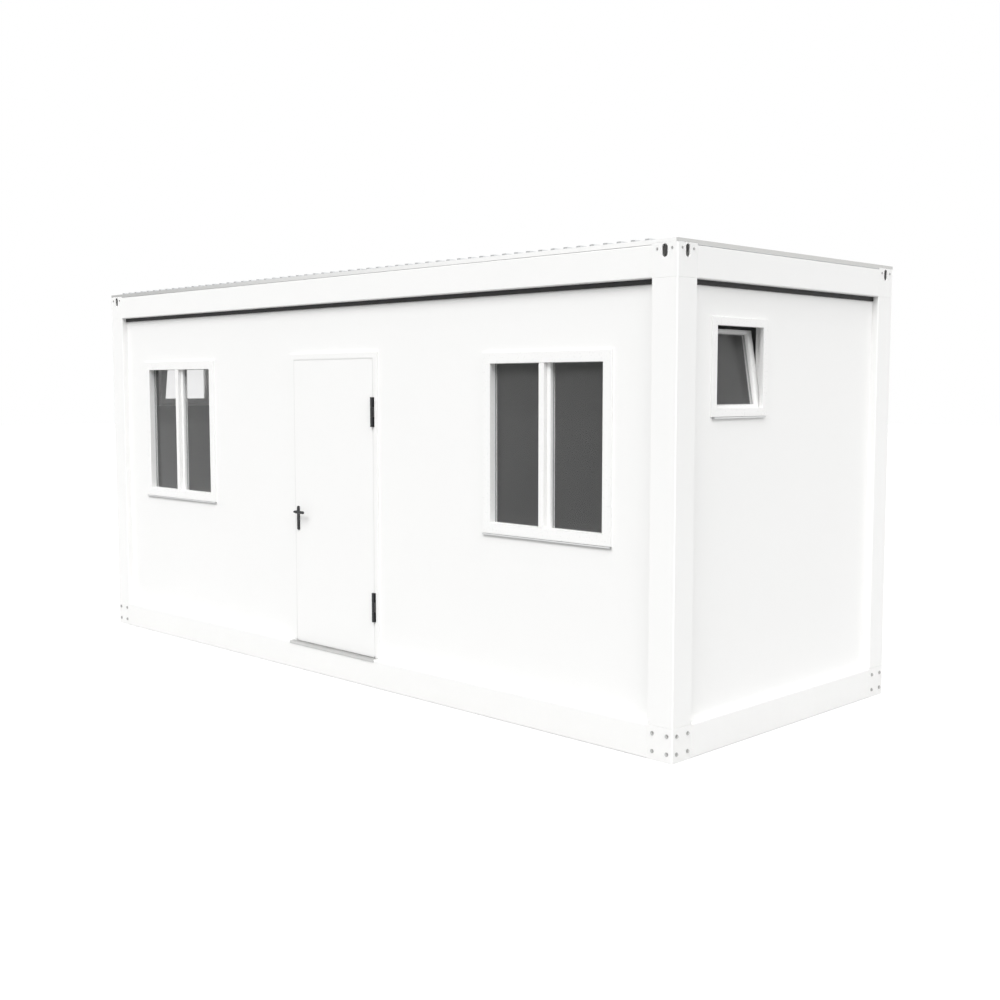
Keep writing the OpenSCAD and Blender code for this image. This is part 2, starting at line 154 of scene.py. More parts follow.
def paintPanel(name, look):
    # Coil-coated steel sheet glued to foam: flat and even, with shallow waves that only soft reflections
    # show. The room side has a grey coat, kept dark as painted shade so that the room reads dim behind the
    # glass.
    material, tree, shader = startFinish(name, {"IOR": look["ior"]})
    place = addNode(tree, "TexCoord").outputs["Object"]
    cloud = addNode(tree, "TexNoise", {"Scale": perMm(look["cloudMm"]), "Detail": 3.0}, {"Vector": place})
    outside = addNode(tree, "Mix", {"data_type": "RGBA", 6: hexColor(look["color"]),
                                    7: hexColor(look["shade"])}, {0: cloud.outputs[0]})
    lining = addNode(tree, "Mix", {"data_type": "RGBA", 6: hexColor(look["lining"]),
                                   7: hexColor(look["liningDark"])}, {0: cloud.outputs[0]})
    spot = addNode(tree, "SeparateXYZ", None, {0: place})
    innerFace = None
    for axis, limit in (("X", midPanelX), ("Y", midPanelY)):
        across = addNode(tree, "Math", {"operation": "ABSOLUTE"}, {0: spot.outputs[axis]})
        within = addNode(tree, "Math", {"operation": "LESS_THAN", 1: limit}, {0: across.outputs[0]})
        if innerFace is None:
            innerFace = within
        else:
            innerFace = addNode(tree, "Math", {"operation": "MULTIPLY"},
                                {0: innerFace.outputs[0], 1: within.outputs[0]})
    coat = addNode(tree, "Mix", {"data_type": "RGBA"},
                   {0: innerFace.outputs[0], 6: outside.outputs[2], 7: lining.outputs[2]})
    wave = addNode(tree, "TexNoise", {"Scale": perMm(look["waveMm"]), "Detail": 1.0}, {"Vector": place})
    grain = addNode(tree, "TexNoise", {"Scale": perMm(look["grainMm"]), "Detail": 2.0}, {"Vector": place})
    waves = addNode(tree, "Bump", {"Distance": look["waveDepthMm"] * mm}, {"Height": wave.outputs[0]})
    bump = addNode(tree, "Bump", {"Distance": look["grainDepthMm"] * mm},
                   {"Height": grain.outputs[0], "Normal": waves.outputs[0]})
    low, high = look["roughness"]
    gloss = addNode(tree, "MapRange", {1: 0.3, 2: 0.7, 3: low, 4: high}, {0: cloud.outputs[0]})
    linkFinish(tree, shader, coat.outputs[2], gloss.outputs[0], bump.outputs[0])
    return material


def grainFinish(name, look):
    # Shared by the finishes whose colour and gloss drift with one noise and whose
    # surface has one fine grain. Stretch draws the grain out along an axis.
    settings = {"IOR": look["ior"]} if "ior" in look else {}
    material, tree, shader = startFinish(name, {**settings, "Metallic": look.get("metallic", 0.0)})
    place = addNode(tree, "TexCoord").outputs["Object"]
    drawn = addNode(tree, "Mapping", {"Scale": look.get("stretch", (1, 1, 1))}, {"Vector": place})
    drift = addNode(tree, "TexNoise", {"Scale": perMm(look["driftMm"]), "Detail": 3.0},
                    {"Vector": drawn.outputs[0]})
    tone = addNode(tree, "Mix", {"data_type": "RGBA", 6: hexColor(look["color"]),
                                 7: hexColor(look["shade"])}, {0: drift.outputs[0]})
    grain = addNode(tree, "TexNoise", {"Scale": perMm(look["grainMm"]), "Detail": 3.0},
                    {"Vector": drawn.outputs[0]})
    bump = addNode(tree, "Bump", {"Distance": look["grainDepthMm"] * mm}, {"Height": grain.outputs[0]})
    low, high = look["roughness"]
    gloss = addNode(tree, "MapRange", {1: 0.3, 2: 0.7, 3: low, 4: high}, {0: grain.outputs[0]})
    linkFinish(tree, shader, tone.outputs[2], gloss.outputs[0], bump.outputs[0])
    return material


# Powder coat baked on the door's steel skins: a slightly grainier white than the frame.
doorPowder = {"color": "#F7F7F6", "shade": "#F5F5F4", "driftMm": 700, "grainMm": 6,
              "grainDepthMm": 0.03, "roughness": (0.42, 0.50), "ior": 1.5}
# Extruded window plastic: smooth, cool white, with a soft shine.
extrudedPlastic = {"color": "#F7F7F6", "shade": "#F5F5F4", "driftMm": 300, "grainMm": 10,
                   "grainDepthMm": 0.01, "roughness": (0.26, 0.34), "ior": 1.53}
# Anodised folded sills: matt silver with a fine drawn grain along their length.
anodisedSill = {"color": "#E2E3E3", "shade": "#D8D9D9", "driftMm": 120, "grainMm": 6, "metallic": 1.0,
                "grainDepthMm": 0.02, "roughness": (0.42, 0.52), "stretch": (0.1, 1, 1)}
# Mill-finish aluminium tread: scuffed, duller, with rolling streaks along X.
rolledTread = {"color": "#CDCDCC", "shade": "#C0C0BF", "driftMm": 70, "grainMm": 5, "metallic": 1.0,
               "grainDepthMm": 0.05, "roughness": (0.38, 0.55), "stretch": (0.08, 1, 1)}
# Black powder coat on cast fittings: deep grey-black with a pebbled satin film.
blackPowder = {"color": "#1E1F21", "shade": "#292A2C", "driftMm": 40, "grainMm": 3,
               "grainDepthMm": 0.05, "roughness": (0.42, 0.56), "ior": 1.5}
# Moulded rubber seals: matt black with a greyish bloom. In the strip under the eaves this black is also
# painted shade.
sealRubber = {"color": "#242424", "shade": "#323232", "driftMm": 90, "grainMm": 4,
              "grainDepthMm": 0.05, "roughness": (0.65, 0.80), "ior": 1.5}
# Soft grey rubber that beds the panes in their sashes.
glazingRubber = {**sealRubber, "color": "#A2A3A3", "shade": "#969797", "roughness": (0.60, 0.75)}
# Foamed rubber around the door leaf: soft off-white.
leafRubber = {**glazingRubber, "color": "#EFEFEE", "shade": "#E7E7E6"}
# Zinc-plated bolts and screws: dull blue-grey metal, brighter where it is worn.
zincPlate = {"color": "#C9C9C8", "shade": "#B3B3B2", "driftMm": 12, "grainMm": 3, "metallic": 1.0,
             "grainDepthMm": 0.03, "roughness": (0.35, 0.50)}
# Lock cylinder: blackened brass, smoother than the plate around it.
blackBrass = {"color": "#2A2A2B", "shade": "#353433", "driftMm": 15, "grainMm": 3,
              "grainDepthMm": 0.01, "roughness": (0.24, 0.34), "ior": 1.6}
# Ceiling board under the roof: the panels' lining coat, a little paler.
ceilingCoat = {"color": "#B9BBB9", "shade": "#B0B2B1", "driftMm": 900, "grainMm": 8,
               "grainDepthMm": 0.03, "roughness": (0.45, 0.55), "ior": 1.48}
# Foam closures in the rib ends: grey cellular plastic, open at the cut face.
cutFoam = {"color": "#D0D1D1", "shade": "#C2C3C3", "driftMm": 14, "grainMm": 5,
           "grainDepthMm": 0.4, "roughness": (0.80, 0.90), "ior": 1.45}


galvanised = {
    "color": "#E2E4E5",
    "bright": "#ECEEEE",
    "dull": "#D4D7D8",
    "spangleMm": 24,  # real spangle is about 10 mm, drawn coarser so that it shows
    "wanderMm": 40, "wander": 0.012,  # bends the straight edges of the crystals
    "cloudMm": 500,
    "rollMm": 9,
    "rollDepthMm": 0.03,
    "roughness": (0.34, 0.56),
}


def dipZinc(name, look):
    # Hot-dip galvanised sheet: grey zinc in frosty crystals, each a little lighter, darker,
    # duller or brighter than the next.
    material, tree, shader = startFinish(name, {"Metallic": 1.0})
    place = addNode(tree, "TexCoord").outputs["Object"]
    bent = addNode(tree, "TexNoise", {"Scale": perMm(look["wanderMm"]), "Detail": 2.0}, {"Vector": place})
    wander = addNode(tree, "Mix", {"data_type": "VECTOR", 0: look["wander"]}, {4: place, 5: bent.outputs[1]})
    crystals = addNode(tree, "TexVoronoi", {"Scale": perMm(look["spangleMm"])}, {"Vector": wander.outputs[1]})
    pick = addNode(tree, "SeparateColor", None, {0: crystals.outputs["Color"]})
    cloud = addNode(tree, "TexNoise", {"Scale": perMm(look["cloudMm"]), "Detail": 3.0}, {"Vector": place})
    grey = addNode(tree, "Mix", {"data_type": "RGBA", 6: hexColor(look["dull"]), 7: hexColor(look["bright"])},
                   {0: pick.outputs[0]})
    zinc = addNode(tree, "Mix", {"data_type": "RGBA", 7: hexColor(look["color"])},
                   {0: cloud.outputs[0], 6: grey.outputs[2]})
    low, high = look["roughness"]
    gloss = addNode(tree, "MapRange", {1: 0.0, 2: 1.0, 3: low, 4: high}, {0: pick.outputs[1]})
    roll = addNode(tree, "TexNoise", {"Scale": perMm(look["rollMm"]), "Detail": 2.0}, {"Vector": place})
    bump = addNode(tree, "Bump", {"Distance": look["rollDepthMm"] * mm}, {"Height": roll.outputs[0]})
    linkFinish(tree, shader, zinc.outputs[2], gloss.outputs[0], bump.outputs[0])
    return material


roofTrim = {
    "brightReflection": "#FAFAF9",  # painted reflection: the eave strips near white toward the right end
    "dimReflection": "#C6C6C5",  # painted reflection: darker grey toward the left end
    "dimReflectionToM": -2.9, "brightReflectionFromM": 2.2,  # along X, with a soft change between
    "verge": "#D2D2D0",
    "vergeMm": 12,
    "rollMm": 9,
    "rollDepthMm": 0.02,
    "streakMm": 60, "streakDark": 0.97,
    "roughness": (0.42, 0.52),
}


def skinTrim(name, look):
    # Skin-passed zinc on folded trims: an even satin grey without crystals, with faint streaks down its face.
    # Along X the eave strips carry a painted reflection, near white at the right end and darker grey at the
    # left; the end trims are a plain grey.
    material, tree, shader = startFinish(name, {"Metallic": 1.0})
    place = addNode(tree, "TexCoord").outputs["Object"]
    spot = addNode(tree, "SeparateXYZ", None, {0: place})
    # Painted reflection: the eave strips' colour ramps from darker grey at the left end to near white at the
    # right
    reflectionRamp = addNode(tree, "MapRange", {"interpolation_type": "SMOOTHSTEP", 1: look["dimReflectionToM"],
                                        2: look["brightReflectionFromM"]}, {0: spot.outputs["X"]})
    along = addNode(tree, "Mix", {"data_type": "RGBA", 6: hexColor(look["dimReflection"]), 7: hexColor(look["brightReflection"])},
                    {0: reflectionRamp.outputs[0]})
    across = addNode(tree, "Math", {"operation": "ABSOLUTE"}, {0: spot.outputs["X"]})
    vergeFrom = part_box("roof_beam_right")[1].x - look["vergeMm"] * mm
    onVerge = addNode(tree, "Math", {"operation": "GREATER_THAN", 1: vergeFrom}, {0: across.outputs[0]})
    base = addNode(tree, "Mix", {"data_type": "RGBA", 7: hexColor(look["verge"])},
                   {0: onVerge.outputs[0], 6: along.outputs[2]})
    drawn = addNode(tree, "Mapping", {"Scale": (1, 1, 0.1)}, {"Vector": place})
    streak = addNode(tree, "TexNoise", {"Scale": perMm(look["streakMm"]), "Detail": 3.0},
                     {"Vector": drawn.outputs[0]})
    shade = addNode(tree, "MapRange", {1: 0.3, 2: 0.7, 3: look["streakDark"], 4: 1.0}, {0: streak.outputs[0]})
    toned = addNode(tree, "Mix", {"data_type": "RGBA", "blend_type": "MULTIPLY", 0: 1.0},
                    {6: base.outputs[2], 7: shade.outputs[0]})
    roll = addNode(tree, "TexNoise", {"Scale": perMm(look["rollMm"]), "Detail": 2.0}, {"Vector": place})
    bump = addNode(tree, "Bump", {"Distance": look["rollDepthMm"] * mm}, {"Height": roll.outputs[0]})
    low, high = look["roughness"]
    gloss = addNode(tree, "MapRange", {1: 0.3, 2: 0.7, 3: low, 4: high}, {0: streak.outputs[0]})
    linkFinish(tree, shader, toned.outputs[2], gloss.outputs[0], bump.outputs[0])
    return material


floatGlass = {
    "tint": "#F9F9F9",
    "ior": 1.2,  # below plain glass: the coating that keeps glare down
    "clear": 0.971,  # the rest is a thin film of dust
    "smearMm": 350,
    "roughness": (0.0, 0.004),
}


def glazePane(name, look):
    # Coated float glass: smooth and near colourless, with a breath of dust and the odd smear
    # from cleaning. Lamps shine straight through it, so the room behind is lit without grain.
    material, tree, shader = startFinish(name, {
        "Base Color": hexColor(look["tint"]), "IOR": look["ior"], "Transmission Weight": look["clear"]})
    place = addNode(tree, "TexCoord").outputs["Object"]
    smear = addNode(tree, "TexNoise", {"Scale": perMm(look["smearMm"]), "Detail": 4.0}, {"Vector": place})
    low, high = look["roughness"]
    gloss = addNode(tree, "MapRange", {1: 0.5, 2: 0.8, 3: low, 4: high}, {0: smear.outputs[0]})
    linkFinish(tree, shader, gloss=gloss.outputs[0])
    clear = addNode(tree, "BsdfTransparent", {"Color": hexColor(look["tint"])})
    path = addNode(tree, "LightPath")
    both = addNode(tree, "MixShader", None, {0: path.outputs["Is Shadow Ray"], 1: shader.outputs[0],
                                             2: clear.outputs[0]})
    tree.links.new(both.outputs[0], tree.nodes["Material Output"].inputs["Surface"])
    return material


vinylSheet = {
    "color": "#8A8D8F",
    "fleck": "#A5A8A9",
    "dark": "#6F7375",
    "fleckMm": 18,  # real flecks are 3 to 5 mm, drawn coarser so that they show
    "paleOver": 0.75, "darkUnder": 0.2,  # a quarter of the chips are pale and a fifth dark
    "roughness": (0.45, 0.60),
    "ior": 1.5,
}


def layVinyl(name, look):
    # Calendered vinyl sheet: mid grey with pale and dark flecks under a matt wear layer.
    material, tree, shader = startFinish(name, {"IOR": look["ior"]})
    place = addNode(tree, "TexCoord").outputs["Object"]
    chips = addNode(tree, "TexVoronoi", {"Scale": perMm(look["fleckMm"])}, {"Vector": place})
    pick = addNode(tree, "SeparateColor", None, {0: chips.outputs["Color"]})
    pale = addNode(tree, "Math", {"operation": "GREATER_THAN", 1: look["paleOver"]}, {0: pick.outputs[0]})
    dark = addNode(tree, "Math", {"operation": "LESS_THAN", 1: look["darkUnder"]}, {0: pick.outputs[0]})
    first = addNode(tree, "Mix", {"data_type": "RGBA", 6: hexColor(look["color"]),
                                  7: hexColor(look["fleck"])}, {0: pale.outputs[0]})
    second = addNode(tree, "Mix", {"data_type": "RGBA", 7: hexColor(look["dark"])},
                     {0: dark.outputs[0], 6: first.outputs[2]})
    low, high = look["roughness"]
    gloss = addNode(tree, "MapRange", {1: 0.0, 2: 1.0, 3: low, 4: high}, {0: pick.outputs[1]})
    linkFinish(tree, shader, second.outputs[2], gloss.outputs[0])
    return material


filmBoard = {
    "color": "#8C6A45",
    "grain": "#74522F",
    "grainMm": 30, "grainDepthMm": 0.3, "stretch": (0.06, 1, 1),
    "roughness": 0.55,
    "ior": 1.5,
}


def cutPlywood(name, look):
    # Birch plywood floor board: warm brown with long grain lines along X.
    material, tree, shader = startFinish(name, {"IOR": look["ior"], "Roughness": look["roughness"]})
    place = addNode(tree, "TexCoord").outputs["Object"]
    along = addNode(tree, "Mapping", {"Scale": look["stretch"]}, {"Vector": place})
    lines = addNode(tree, "TexNoise", {"Scale": perMm(look["grainMm"]), "Detail": 6.0},
                    {"Vector": along.outputs[0]})
    wood = addNode(tree, "Mix", {"data_type": "RGBA", 6: hexColor(look["color"]), 7: hexColor(look["grain"])},
                   {0: lines.outputs[0]})
    bump = addNode(tree, "Bump", {"Distance": look["grainDepthMm"] * mm}, {"Height": lines.outputs[0]})
    linkFinish(tree, shader, wood.outputs[2], surface=bump.outputs[0])
    return material


wallLow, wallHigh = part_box("right_end_wall")
midPanelX = (wallLow.x + wallHigh.x) / 2
wallFaceX = wallHigh.x
wallLow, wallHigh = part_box("back_wall")
midPanelY = (wallLow.y + wallHigh.y) / 2
wallFaceY = wallHigh.y

frameEnamel = paintSteel("sprayed_enamel_on_folded_steel", enamelPaint)
panelSkin = paintPanel("coil_coated_steel_panel", panelCoat)
doorCoat = grainFinish("white_powder_coat_on_steel", doorPowder)
windowPlastic = grainFinish("extruded_white_window_plastic", extrudedPlastic)
sillMetal = grainFinish("anodised_aluminium_sill", anodisedSill)
treadMetal = grainFinish("rolled_aluminium_tread", rolledTread)
blackFitting = grainFinish("black_powder_coat_on_castings", blackPowder)
blackShadeSeal = grainFinish("black_seal_rubber_painted_shade", sealRubber)
paneRubber = grainFinish("soft_grey_glazing_rubber", glazingRubber)
doorRubber = grainFinish("foamed_off_white_seal_rubber", leafRubber)
boltZinc = grainFinish("zinc_plated_bolt_steel", zincPlate)
lockBlack = grainFinish("blackened_brass_lock", blackBrass)
ceilingBoard = grainFinish("coated_ceiling_board", ceilingCoat)
ribFoam = grainFinish("cut_grey_foam", cutFoam)
zincSheet = dipZinc("hot_dip_galvanised_sheet", galvanised)
trimSteel = skinTrim("skin_passed_zinc_trim", roofTrim)
paneGlass = glazePane("clear_float_glass", floatGlass)
floorVinyl = layVinyl("calendered_floor_vinyl", vinylSheet)
floorPlywood = cutPlywood("birch_plywood_floor_board", filmBoard)
print("finishes made:", len(bpy.data.materials))


sharpAngle = math.radians(38)  # folds steeper than this keep a crisp edge in the shading


def addObject(name, data):
    thing = bpy.data.objects.new(name, data)
    bpy.context.scene.collection.objects.link(thing)
    return thing


def keepPiece(name, bm, body, finish, standsFor=()):
    for face in bm.faces:
        face.smooth = True
    for edge in bm.edges:
        edge.smooth = len(edge.link_faces) == 2 and edge.calc_face_angle() < sharpAngle
    mesh = bpy.data.meshes.new(name)
    bm.to_mesh(mesh)
    bm.free()
    mesh.materials.append(finish)
    piece = addObject(name, mesh)
    even = piece.modifiers.new("even_shading", "WEIGHTED_NORMAL")
    even.weight = 100
    even.keep_sharp = True
    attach(piece, body)
    if standsFor:
        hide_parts(*standsFor)
    return piece


def cadCopy(name):
    # A merged copy of a CAD node, its flat faces whole again
    bm = bmesh.new()
    bm.from_mesh(nodes[name].data)
    bmesh.ops.remove_doubles(bm, verts=bm.verts, dist=touch)
    bmesh.ops.dissolve_limit(bm, angle_limit=math.radians(0.5), verts=bm.verts, edges=bm.edges)
    return bm


def liesOn(edge, axis, value):
    return all(abs(v.co[axis] - value) < touch for v in edge.verts)


def bevelEdges(bm, edges, width, segments, clamp=False):
    bmesh.ops.bevel(bm, geom=edges, offset=width, offset_type="OFFSET", segments=segments,
                    profile=0.5, affect="EDGES", clamp_overlap=clamp, material=-1)


def roundEdges(bm, chosen, widthMm, segments):
    edges = [e for e in bm.edges
             if len(e.link_faces) == 2 and e.calc_face_angle() > sharpAngle and chosen(e)]
    bevelEdges(bm, edges, widthMm * mm, segments, clamp=True)


def edgesOf(verts):
    return {e for v in verts for e in v.link_edges}


def facesOf(verts):
    return {f for v in verts for f in v.link_faces}


def seamEdge(edge, axis, value, outs):
    # An edge in the end plane whose other face looks out of the building
    if not liesOn(edge, axis, value):
        return False
    sides = [f.normal for f in edge.link_faces if abs(f.normal[axis]) < 0.5]
    return any(n[way] * sign > 0.05 for n in sides for way, sign in outs)


def outerOf(low, high):
    # The side of a span that is farther from the middle, and its sign
    return (low, -1) if abs(low) > abs(high) else (high, 1)


def cornerPlanes(low, high):
    # A corner part's outer plane, which way it looks, and its inner plane: in X, then in Y
    for axis in (0, 1):
        outer, sign = outerOf(low[axis], high[axis])
        yield outer, sign, low[axis] + high[axis] - outer


def addBox(bm, low, high):
    verts = bmesh.ops.create_cube(bm, size=1)["verts"]
    bmesh.ops.scale(bm, vec=Vector(high) - Vector(low), verts=verts)
    bmesh.ops.translate(bm, vec=(Vector(high) + Vector(low)) / 2, verts=verts)
    return verts


def aim(place, facing):
    # Turns a fitting drawn on +Z so that it looks along facing, at its place
    return Matrix.Translation(place) @ Vector(facing).to_track_quat("Z", "Y").to_matrix().to_4x4()


def addRod(bm, radius, low, high, segments=24, place=Matrix.Identity(4), top=None):
    # A round bar on the Z axis of place
    middle = Matrix.Translation((0, 0, (low + high) / 2))
    return bmesh.ops.create_cone(bm, cap_ends=True, segments=segments, radius1=radius,
                                 radius2=radius if top is None else top, depth=high - low,
                                 matrix=place @ middle)["verts"]


def extrudeOutline(bm, outline, step):
    # A solid drawn out by step from a flat outline
    start = bm.faces.new([bm.verts.new(spot) for spot in outline])
    drawn = bmesh.ops.extrude_face_region(bm, geom=[start])["geom"]
    far = [part for part in drawn if isinstance(part, bmesh.types.BMVert)]
    bmesh.ops.translate(bm, vec=step, verts=far)


def addBolt(bm, place, facing, look):
    # Hexagon head on a washer, set on a face
    seat = aim(place, facing)
    washer = look["washerThickMm"] * mm
    addRod(bm, look["washerMm"] / 2 * mm, -sunk, washer, look["washerSides"], seat)
    head = addRod(bm, look["headMm"] / 2 * mm, washer, washer + look["headTallMm"] * mm, 6, seat)
    if look["crownShare"]:
        tops = [f for f in facesOf(head) if f.normal.dot(seat.to_3x3() @ Vector((0, 0, 1))) > 0.9]
        bevelEdges(bm, [e for f in tops for e in f.edges], look["headTallMm"] * look["crownShare"] * mm, 1)


steelFrame = {
    "foldMm": 8,  # outer radius of a fold in 4 mm steel
    "returnFoldMm": 6,
    "seamMm": 1.6,  # ground-back edge at a welded seam
    "blockSeamMm": 2.4,
    "slotRimMm": 2.5,
    "slotInsetMm": 12,  # no slot comes nearer than this to its block's arris
}


def keepSteel(bm, node, ending):
    keepPiece(node + ending, bm, "cabin", frameEnamel, [node])


def foldBeam(node, out, along):
    low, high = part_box(node)
    outer, sign = outerOf(low[out], high[out])
    bm = cadCopy(node)
    roundEdges(bm, lambda e: liesOn(e, out, outer) and e.calc_length() > 1, steelFrame["foldMm"], 4)
    for end in (low[along], high[along]):
        roundEdges(bm, lambda e: seamEdge(e, along, end, [(out, sign)]), steelFrame["seamMm"], 1)
    keepSteel(bm, node, "_folded")


def foldPost(node):
    low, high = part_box(node)
    (outerX, signX, innerX), (outerY, signY, innerY) = cornerPlanes(low, high)
    bm = cadCopy(node)
    roundEdges(bm, lambda e: liesOn(e, 0, outerX) and liesOn(e, 1, outerY), steelFrame["foldMm"], 4)
    roundEdges(bm, lambda e: (liesOn(e, 0, outerX) and liesOn(e, 1, innerY))
               or (liesOn(e, 1, outerY) and liesOn(e, 0, innerX)), steelFrame["returnFoldMm"], 3)
    for end in (low.z, high.z):
        roundEdges(bm, lambda e: seamEdge(e, 2, end, [(0, signX), (1, signY)]), steelFrame["seamMm"], 1)
    keepSteel(bm, node, "_folded")


def dressBlock(bm, low, high):
    # Rounds one corner block's outer arris, seams and slot rims
    (outerX, signX, innerX), (outerY, signY, innerY) = cornerPlanes(low, high)
    onX = lambda e: liesOn(e, 0, outerX)
    onY = lambda e: liesOn(e, 1, outerY)
    here = lambda e: all(low.x - touch < v.co.x < high.x + touch
                         and low.y - touch < v.co.y < high.y + touch for v in e.verts)
    inset = steelFrame["slotInsetMm"] * mm

    def slotRim(e):
        along = 1 if onX(e) else 0
        if not (onX(e) or onY(e)):
            return False
        return all(low[along] + inset < v.co[along] < high[along] - inset
                   and v.co.z < high.z - mm for v in e.verts)

    roundEdges(bm, lambda e: here(e) and slotRim(e), steelFrame["slotRimMm"], 2)
    roundEdges(bm, lambda e: here(e) and onX(e) and onY(e), steelFrame["foldMm"], 4)
    outs = [(0, signX), (1, signY)]
    seams = [(2, low.z, outs), (2, high.z, outs), (0, innerX, outs[1:]), (1, innerY, outs[:1])]
    for axis, value, faces in seams:
        roundEdges(bm, lambda e: here(e) and seamEdge(e, axis, value, faces), steelFrame["blockSeamMm"], 2)


for side in ("front", "back"):
    foldBeam("base_beam_" + side, 1, 0)
    foldBeam("roof_beam_" + side, 1, 0)
for side in ("left", "right"):
    foldBeam("base_beam_" + side, 0, 1)
    foldBeam("roof_beam_" + side, 0, 1)

corners = [(depth, side) for depth in ("front", "back") for side in ("left", "right")]
for depth, side in corners:
    foldPost(f"corner_post_{depth}_{side}")
    block = f"top_corner_{depth}_{side}"
    solid = cadCopy(block)
    dressBlock(solid, *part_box(block))
    keepSteel(solid, block, "_welded")

feet = cadCopy("bottom_corners")
feetLow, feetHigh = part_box("bottom_corners")
blockLow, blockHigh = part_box("top_corner_front_left")
blockWide = blockHigh.x - blockLow.x
for signX in (-1, 1):
    for signY in (-1, 1):
        spanX = sorted((signX * feetHigh.x, signX * (feetHigh.x - blockWide)))
        spanY = sorted((signY * feetHigh.y, signY * (feetHigh.y - blockWide)))
        dressBlock(feet, Vector((spanX[0], spanY[0], feetLow.z)), Vector((spanX[1], spanY[1], feetHigh.z)))
keepSteel(feet, "bottom_corners", "_welded")
print("steel frame folded and welded")


footBolts = {
    "fromArrisMm": (38, 138),
    "heightsMm": (50, 150),
    "washerMm": 24, "washerThickMm": 2, "washerSides": 16,
    "headMm": 17, "headTallMm": 7, "crownShare": 0.25,
}
eaveBolts = {
    "slotFromArrisMm": 88, "besideSlotMm": 50,
    "belowTopMm": 24,
    "washerMm": 15, "washerThickMm": 1.5, "washerSides": 14,
    "headMm": 11.5, "headTallMm": 4.5, "crownShare": 0.25,
}


def boltFaces():
    # Each outer face of the four corners: which way it looks, its plane and its arris
    for signX in (-1, 1):
        for signY in (-1, 1):
            yield (0, signX * feetHigh.x, 1, signY * feetHigh.y)
            yield (1, signY * feetHigh.y, 0, signX * feetHigh.x)


def onFace(face, fromArris, height):
    out, plane, along, arris = face
    place = Vector((0, 0, height))
    place[out] = plane
    place[along] = arris - math.copysign(fromArris, arris)
    facing = Vector((0, 0, 0))
    facing[out] = math.copysign(1, plane)
    return place, facing


bolts = bmesh.new()
for face in boltFaces():
    for across in footBolts["fromArrisMm"]:
        for height in footBolts["heightsMm"]:
            place, facing = onFace(face, across * mm, height * mm)
            addBolt(bolts, place, facing, footBolts)
keepPiece("foot_bolts", bolts, "cabin", boltZinc)

bolts = bmesh.new()
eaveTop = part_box("roof_beam_front")[1].z
for face in boltFaces():
    for side in (-1, 1):
        across = (eaveBolts["slotFromArrisMm"] + side * eaveBolts["besideSlotMm"]) * mm
        place, facing = onFace(face, across, eaveTop - eaveBolts["belowTopMm"] * mm)
        addBolt(bolts, place, facing, eaveBolts)
keepPiece("eave_bolts", bolts, "cabin", boltZinc)
print("corner bolts set")


finishOf = {
    panelSkin: ("front_wall_left", "front_wall_right", "front_wall_over_door", "back_wall",
                "left_end_wall", "right_end_wall"),
    ceilingBoard: ("ceiling_panel",),
    zincSheet: ("roof_sheet", "underfloor_sheet", "floor_joists"),
    trimSteel: ("roof_edge_trims",),
    floorVinyl: ("floor_covering",),
    floorPlywood: ("floor_deck",),
    paneGlass: ("front_window_glass", "end_window_glass"),
}
for finish, names in finishOf.items():
    for name in names:
        mesh = nodes[name].data
        mesh.materials.clear()
        mesh.materials.append(finish)

eaveShadeSeal = {
    "tallMm": 28,  # the black strip between a panel's head and its beam: a joint seal, drawn this tall and black as painted shade under the eave
    "deepMm": 9,
    "roundMm": 3,
    "longFromM": 3,  # the front and back strips are longer than this and the end ones shorter
}
eave = inMetres(eaveShadeSeal)


# A black strip under each roof beam: partly a joint seal, partly painted shade where the beam shades the
# panel's head
def shadeSealUnderBeams():
    bm = bmesh.new()
    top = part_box("roof_beam_front")[0].z
    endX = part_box("roof_beam_front")[1].x
    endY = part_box("roof_beam_right")[1].y
    low = top - eave.tall
    deep = eave.deep
    long = eaveShadeSeal["longFromM"]
    for sign in (-1, 1):
        spanY = sorted((sign * wallFaceY, sign * (wallFaceY + deep)))
        addBox(bm, (-endX, spanY[0], low), (endX, spanY[1], top))
        spanX = sorted((sign * wallFaceX, sign * (wallFaceX + deep)))
        addBox(bm, (spanX[0], -endY, low), (spanX[1], endY, top))
    lowOuter = lambda e: liesOn(e, 2, low) and (
        all(abs(v.co.y) > wallFaceY + deep / 2 for v in e.verts) and e.calc_length() > long
        or all(abs(v.co.x) > wallFaceX + deep / 2 for v in e.verts) and 1 < e.calc_length() < long)
    roundEdges(bm, lowOuter, eaveShadeSeal["roundMm"], 3)
    keepPiece("eave_shade_seals", bm, "cabin", blackShadeSeal)


shadeSealUnderBeams()

roofFixings = {
    "ribPitchMm": 98, "valleyMm": 1.5,
    "everyValley": 2,
    "rowsFromEdgeMm": (45, 600),  # from each eave, with one more row in the middle
    "washerMm": 19, "washerThickMm": 1.6, "washerSides": 10,
    "headMm": 9, "headTallMm": 5, "crownShare": 0,
}
fixing = inMetres(roofFixings)
ribEnds = {
    "footMm": 50, "crestMm": 27, "baseMm": 0.3, "tallMm": 32.5,
    "deepMm": 30,
    "setBackMm": 1,
}
closure = inMetres(ribEnds)


def overBlock(x, y):
    # Whether a spot on the roof lies over one of the corner blocks, where the sheet is cut away
    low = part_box("top_corner_back_right")[0]
    return abs(x) > low.x and abs(y) > low.y


